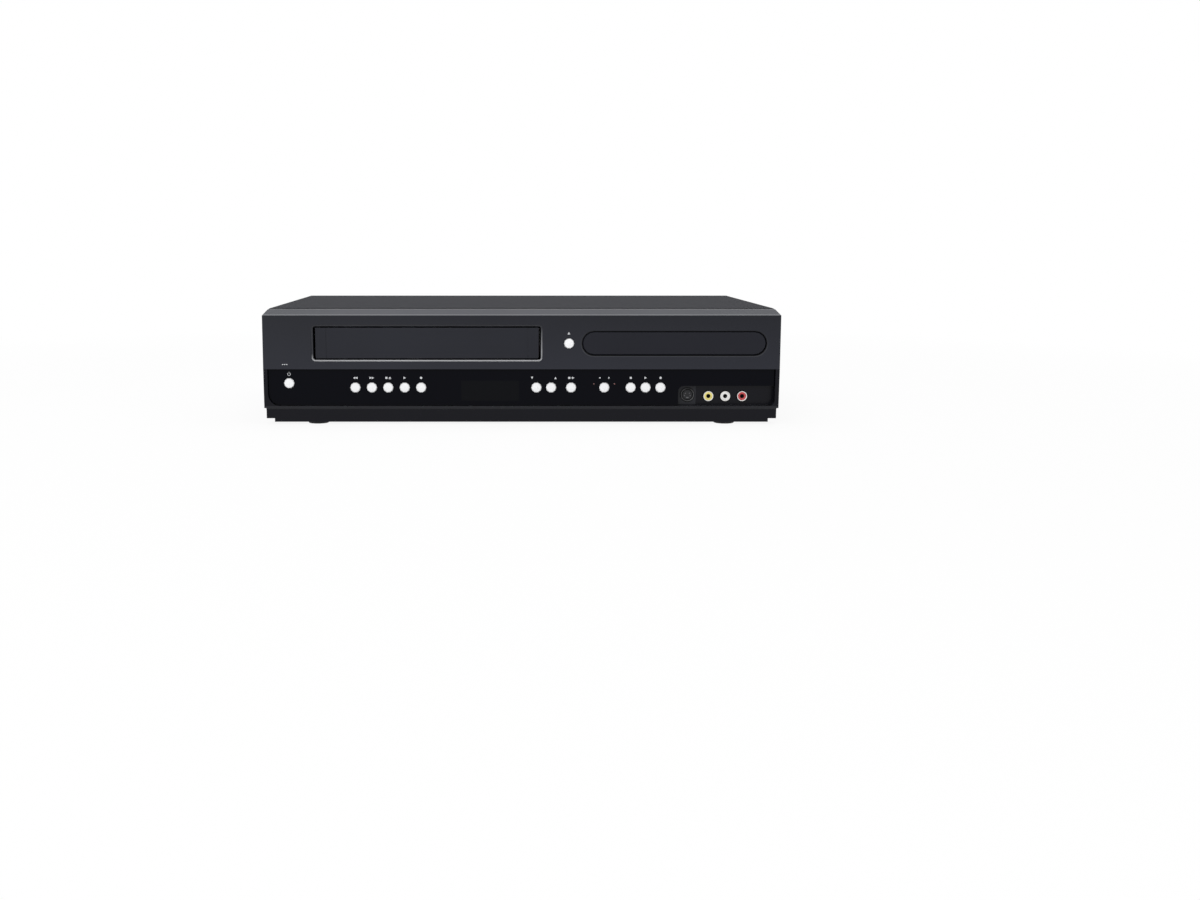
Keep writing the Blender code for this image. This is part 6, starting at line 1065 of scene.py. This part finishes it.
def outline(bm, left, right, bottom, top, corner):
    """A rounded frame one line wide. Faces that were there before are kept out of the choice."""
    earlier = set(bm.faces)
    centre = ((left + right) / 2, (bottom + top) / 2)
    made = polygon(bm, 4, centre, right - left, top - bottom, SQUARE_TURN)
    rounded(bm, made, corner, 5)
    whole = max(set(bm.faces) - earlier, key=lambda f: f.calc_area())
    bmesh.ops.inset_region(bm, faces=[whole], thickness=LINE, use_boundary=True, use_even_offset=True)
    middle = max(set(bm.faces) - earlier, key=lambda f: f.calc_area())
    bmesh.ops.delete(bm, geom=[middle], context="FACES")


BOX = (0.0533, 0.1818, 0.0105, 0.0712)
HEADER = 0.0662
DIVIDERS = (0.0732, 0.0893, 0.1063, 0.1253, 0.1443)
FRAMES = (
    (*BOX, 0.0020),
    (-0.1596, -0.1116, 0.0712, 0.0880, 0.0012),
    (-0.2005, -0.1931, 0.0772, 0.0856, 0.0008),
    (-0.1984, -0.1952, 0.0796, 0.0832, 0.0004),
    (-0.1882, -0.1768, 0.0755, 0.0863, 0.0020),
)
rules = bmesh.new()
for rule_frame in FRAMES:
    outline(rules, *rule_frame)
polygon(rules, 4, ((BOX[0] + BOX[1]) / 2, HEADER), BOX[1] - BOX[0], LINE, SQUARE_TURN)
for x in DIVIDERS:
    polygon(rules, 4, (x, (BOX[2] + HEADER) / 2), LINE, HEADER - BOX[2], SQUARE_TURN)
raised(rules, INK)
rules.transform(stand(0, surface("rear_panel", *PANEL_PLACE, True), 0, True))
finished("socket_rules", rules, "case", dark_ink)

# %% [markdown]
# ## Blank plates
# The panel has a dark-framed plate above and two pale stickers below, all blank. A sticker is
# a rounded sheet a tenth of a millimetre thick.

# %% Stick the plates
SHEET = 0.0001
sticker_paper = Finish("sticker_paper", (0.66, 0.67, 0.70), 0.5)
sticker_tone = sticker_paper.noise(240.0, 4.0)
sticker_paper.paint(sticker_paper.mix(sticker_tone, (0.68, 0.68, 0.73), (0.77, 0.77, 0.82)))
label_black = moulded("label_black", (0.010, 0.009, 0.012), 0.6, Specular_IOR_Level=0.1)
label_grey = coloured("label_grey", (0.37, 0.36, 0.40))


def label(name, left, right, bottom, top, finish, corner=0.0012, lift=0.0):
    """A blank sheet on the rear panel."""
    bm = bmesh.new()
    centre = ((left + right) / 2, (bottom + top) / 2)
    polygon(bm, 4, (-centre[0], centre[1]), right - left, top - bottom, SQUARE_TURN)
    rounded(bm, bm.verts[:], corner, 4)
    raised(bm, SHEET)
    bm.transform(stand(0, surface("rear_panel", centre[0], centre[1], True) + lift, 0, True))
    finished(name, bm, "case", finish)


label("upper_label", 0.0639, 0.1069, 0.0609, 0.0813, label_black, 0.0006)
label("upper_label_face", 0.0672, 0.1036, 0.0640, 0.0782, label_grey, 0.0004, SHEET)
label("long_sticker", 0.1270, 0.2045, 0.0299, 0.0478, sticker_paper)
label("low_sticker", 0.1260, 0.1960, 0.0087, 0.0256, sticker_paper)

STICKER_PLACE = (0.1400, 0.0200)
sticker_rules = bmesh.new()
outline(sticker_rules, -0.1530, -0.1292, 0.0142, 0.0212, 0.0010)
polygon(sticker_rules, 4, (-0.1657, 0.0345), 0.0765, LINE, SQUARE_TURN)
raised(sticker_rules, INK)
sticker_rules.transform(stand(0, surface("rear_panel", *STICKER_PLACE, True) + SHEET, 0, True))
finished("sticker_rules", sticker_rules, "case", dark_ink)

# %% [markdown]
# ## Contacts
# The mains inlet has two round pins and the digital socket a row of gold contacts on a black
# tongue. They are small, but bright metal in a dark mouth is what makes a socket read.

# %% Pins of the mains inlet
inlet_low, inlet_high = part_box("mains_inlet")
INLET_MIDDLE = ((inlet_low.x + inlet_high.x) / 2, (inlet_low.z + inlet_high.z) / 2)
PIN_SPREAD = 0.0033
PIN_PROFILE = [(0.00118, -0.0080), (0.00118, 0.0004), (0.0008, 0.0009), (0, 0.0011)]
for n, side in enumerate((-1, 1)):
    pin = bmesh.new()
    lathe(pin, PIN_PROFILE, 16)
    x, z = INLET_MIDDLE[0] + side * PIN_SPREAD, INLET_MIDDLE[1]
    pin.transform(stand(x, surface("mains_inlet", x, z, True), z, True))
    finished(f"inlet_pin_{n}", pin, "case", pin_metal)

# %% Tongue and gold contacts of the digital socket
TONGUE_PLACE = (0.1238, 0.0856)
TONGUE_HALF_WIDE = 0.0052
TONGUE_HALF_TALL = 0.0006
TONGUE_BACK = 0.0052
TONGUE_LONG = 0.0042
TONGUE_CORNER = 0.0003
CONTACT_TALL = 0.0002
CONTACTS = 10

tongue_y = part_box("hdmi_socket")[1].y - TONGUE_BACK
tongue = bmesh.new()
polygon(tongue, 4, (0, 0), TONGUE_HALF_WIDE * 2, TONGUE_HALF_TALL * 2, SQUARE_TURN)
rounded(tongue, tongue.verts[:], TONGUE_CORNER, 3)
raised(tongue, TONGUE_LONG)
tongue.transform(stand(TONGUE_PLACE[0], tongue_y, TONGUE_PLACE[1], True))
finished("digital_tongue", tongue, "case", socket_black)

contacts = bmesh.new()
pitch = TONGUE_HALF_WIDE * 1.8 / (CONTACTS - 1)
for n in range(CONTACTS):
    x = (n - (CONTACTS - 1) / 2) * pitch
    polygon(contacts, 4, (x, -TONGUE_HALF_TALL), pitch * 0.5, CONTACT_TALL, SQUARE_TURN)
raised(contacts, TONGUE_LONG * 0.9)
contacts.transform(stand(TONGUE_PLACE[0], tongue_y, TONGUE_PLACE[1], True))
finished("digital_contacts", contacts, "case", gold_metal)
print("contacts", CONTACTS)

# %% [markdown]
# ## Floor
# The player stands on a white floor that runs on without an edge. To the camera most of its
# light is its own, so it meets the white of the room, and the rest keeps the soft shadow
# under the player.

# %% Lay the floor
FLOOR_OWN_SHARE = 0.90
FLOOR_HALF = 6.0
FLOOR_GREY = (0.80, 0.80, 0.80, 1.0)
SHADOW_REACH = (0.5, 1.1)
floor_bm = bmesh.new()
bmesh.ops.create_grid(floor_bm, x_segments=1, y_segments=1, size=FLOOR_HALF)
floor_mesh = bpy.data.meshes.new("floor")
floor_bm.to_mesh(floor_mesh)
floor_bm.free()
floor = bpy.data.objects.new("floor", floor_mesh)
bpy.context.scene.collection.objects.link(floor)

floor_paint = bpy.data.materials.new("white_floor")
floor_paint.use_nodes = True
floor_tree = floor_paint.node_tree
floor_tree.nodes.remove(floor_tree.nodes["Principled BSDF"])
matt = floor_tree.nodes.new("ShaderNodeBsdfDiffuse")
matt.inputs["Color"].default_value = FLOOR_GREY
glow = floor_tree.nodes.new("ShaderNodeEmission")
floor_rays = floor_tree.nodes.new("ShaderNodeLightPath")
direct = floor_tree.nodes.new("ShaderNodeMath")
direct.operation = "MAXIMUM"
floor_tree.links.new(floor_rays.outputs["Is Camera Ray"], direct.inputs[0])
floor_tree.links.new(floor_rays.outputs["Is Glossy Ray"], direct.inputs[1])
from_middle = floor_tree.nodes.new("ShaderNodeVectorMath")
from_middle.operation = "LENGTH"
floor_place = floor_tree.nodes.new("ShaderNodeTexCoord")
floor_tree.links.new(floor_place.outputs["Object"], from_middle.inputs[0])
own = floor_tree.nodes.new("ShaderNodeMapRange")
own.inputs["From Min"].default_value, own.inputs["From Max"].default_value = SHADOW_REACH
own.inputs["To Min"].default_value = FLOOR_OWN_SHARE
own.inputs["To Max"].default_value = 1.0
floor_tree.links.new(from_middle.outputs["Value"], own.inputs["Value"])
share = floor_tree.nodes.new("ShaderNodeMath")
share.operation = "MULTIPLY"
floor_tree.links.new(direct.outputs[0], share.inputs[0])
floor_tree.links.new(own.outputs["Result"], share.inputs[1])
blend = floor_tree.nodes.new("ShaderNodeMixShader")
floor_tree.links.new(share.outputs[0], blend.inputs["Fac"])
floor_tree.links.new(matt.outputs[0], blend.inputs[1])
floor_tree.links.new(glow.outputs[0], blend.inputs[2])
floor_tree.links.new(blend.outputs[0], floor_tree.nodes["Material Output"].inputs["Surface"])
floor_mesh.materials.append(floor_paint)

# %% [markdown]
# ## Last settings
# Standard view keeps each colour as written.

# %% Finish
bpy.context.scene.view_settings.view_transform = "Standard"
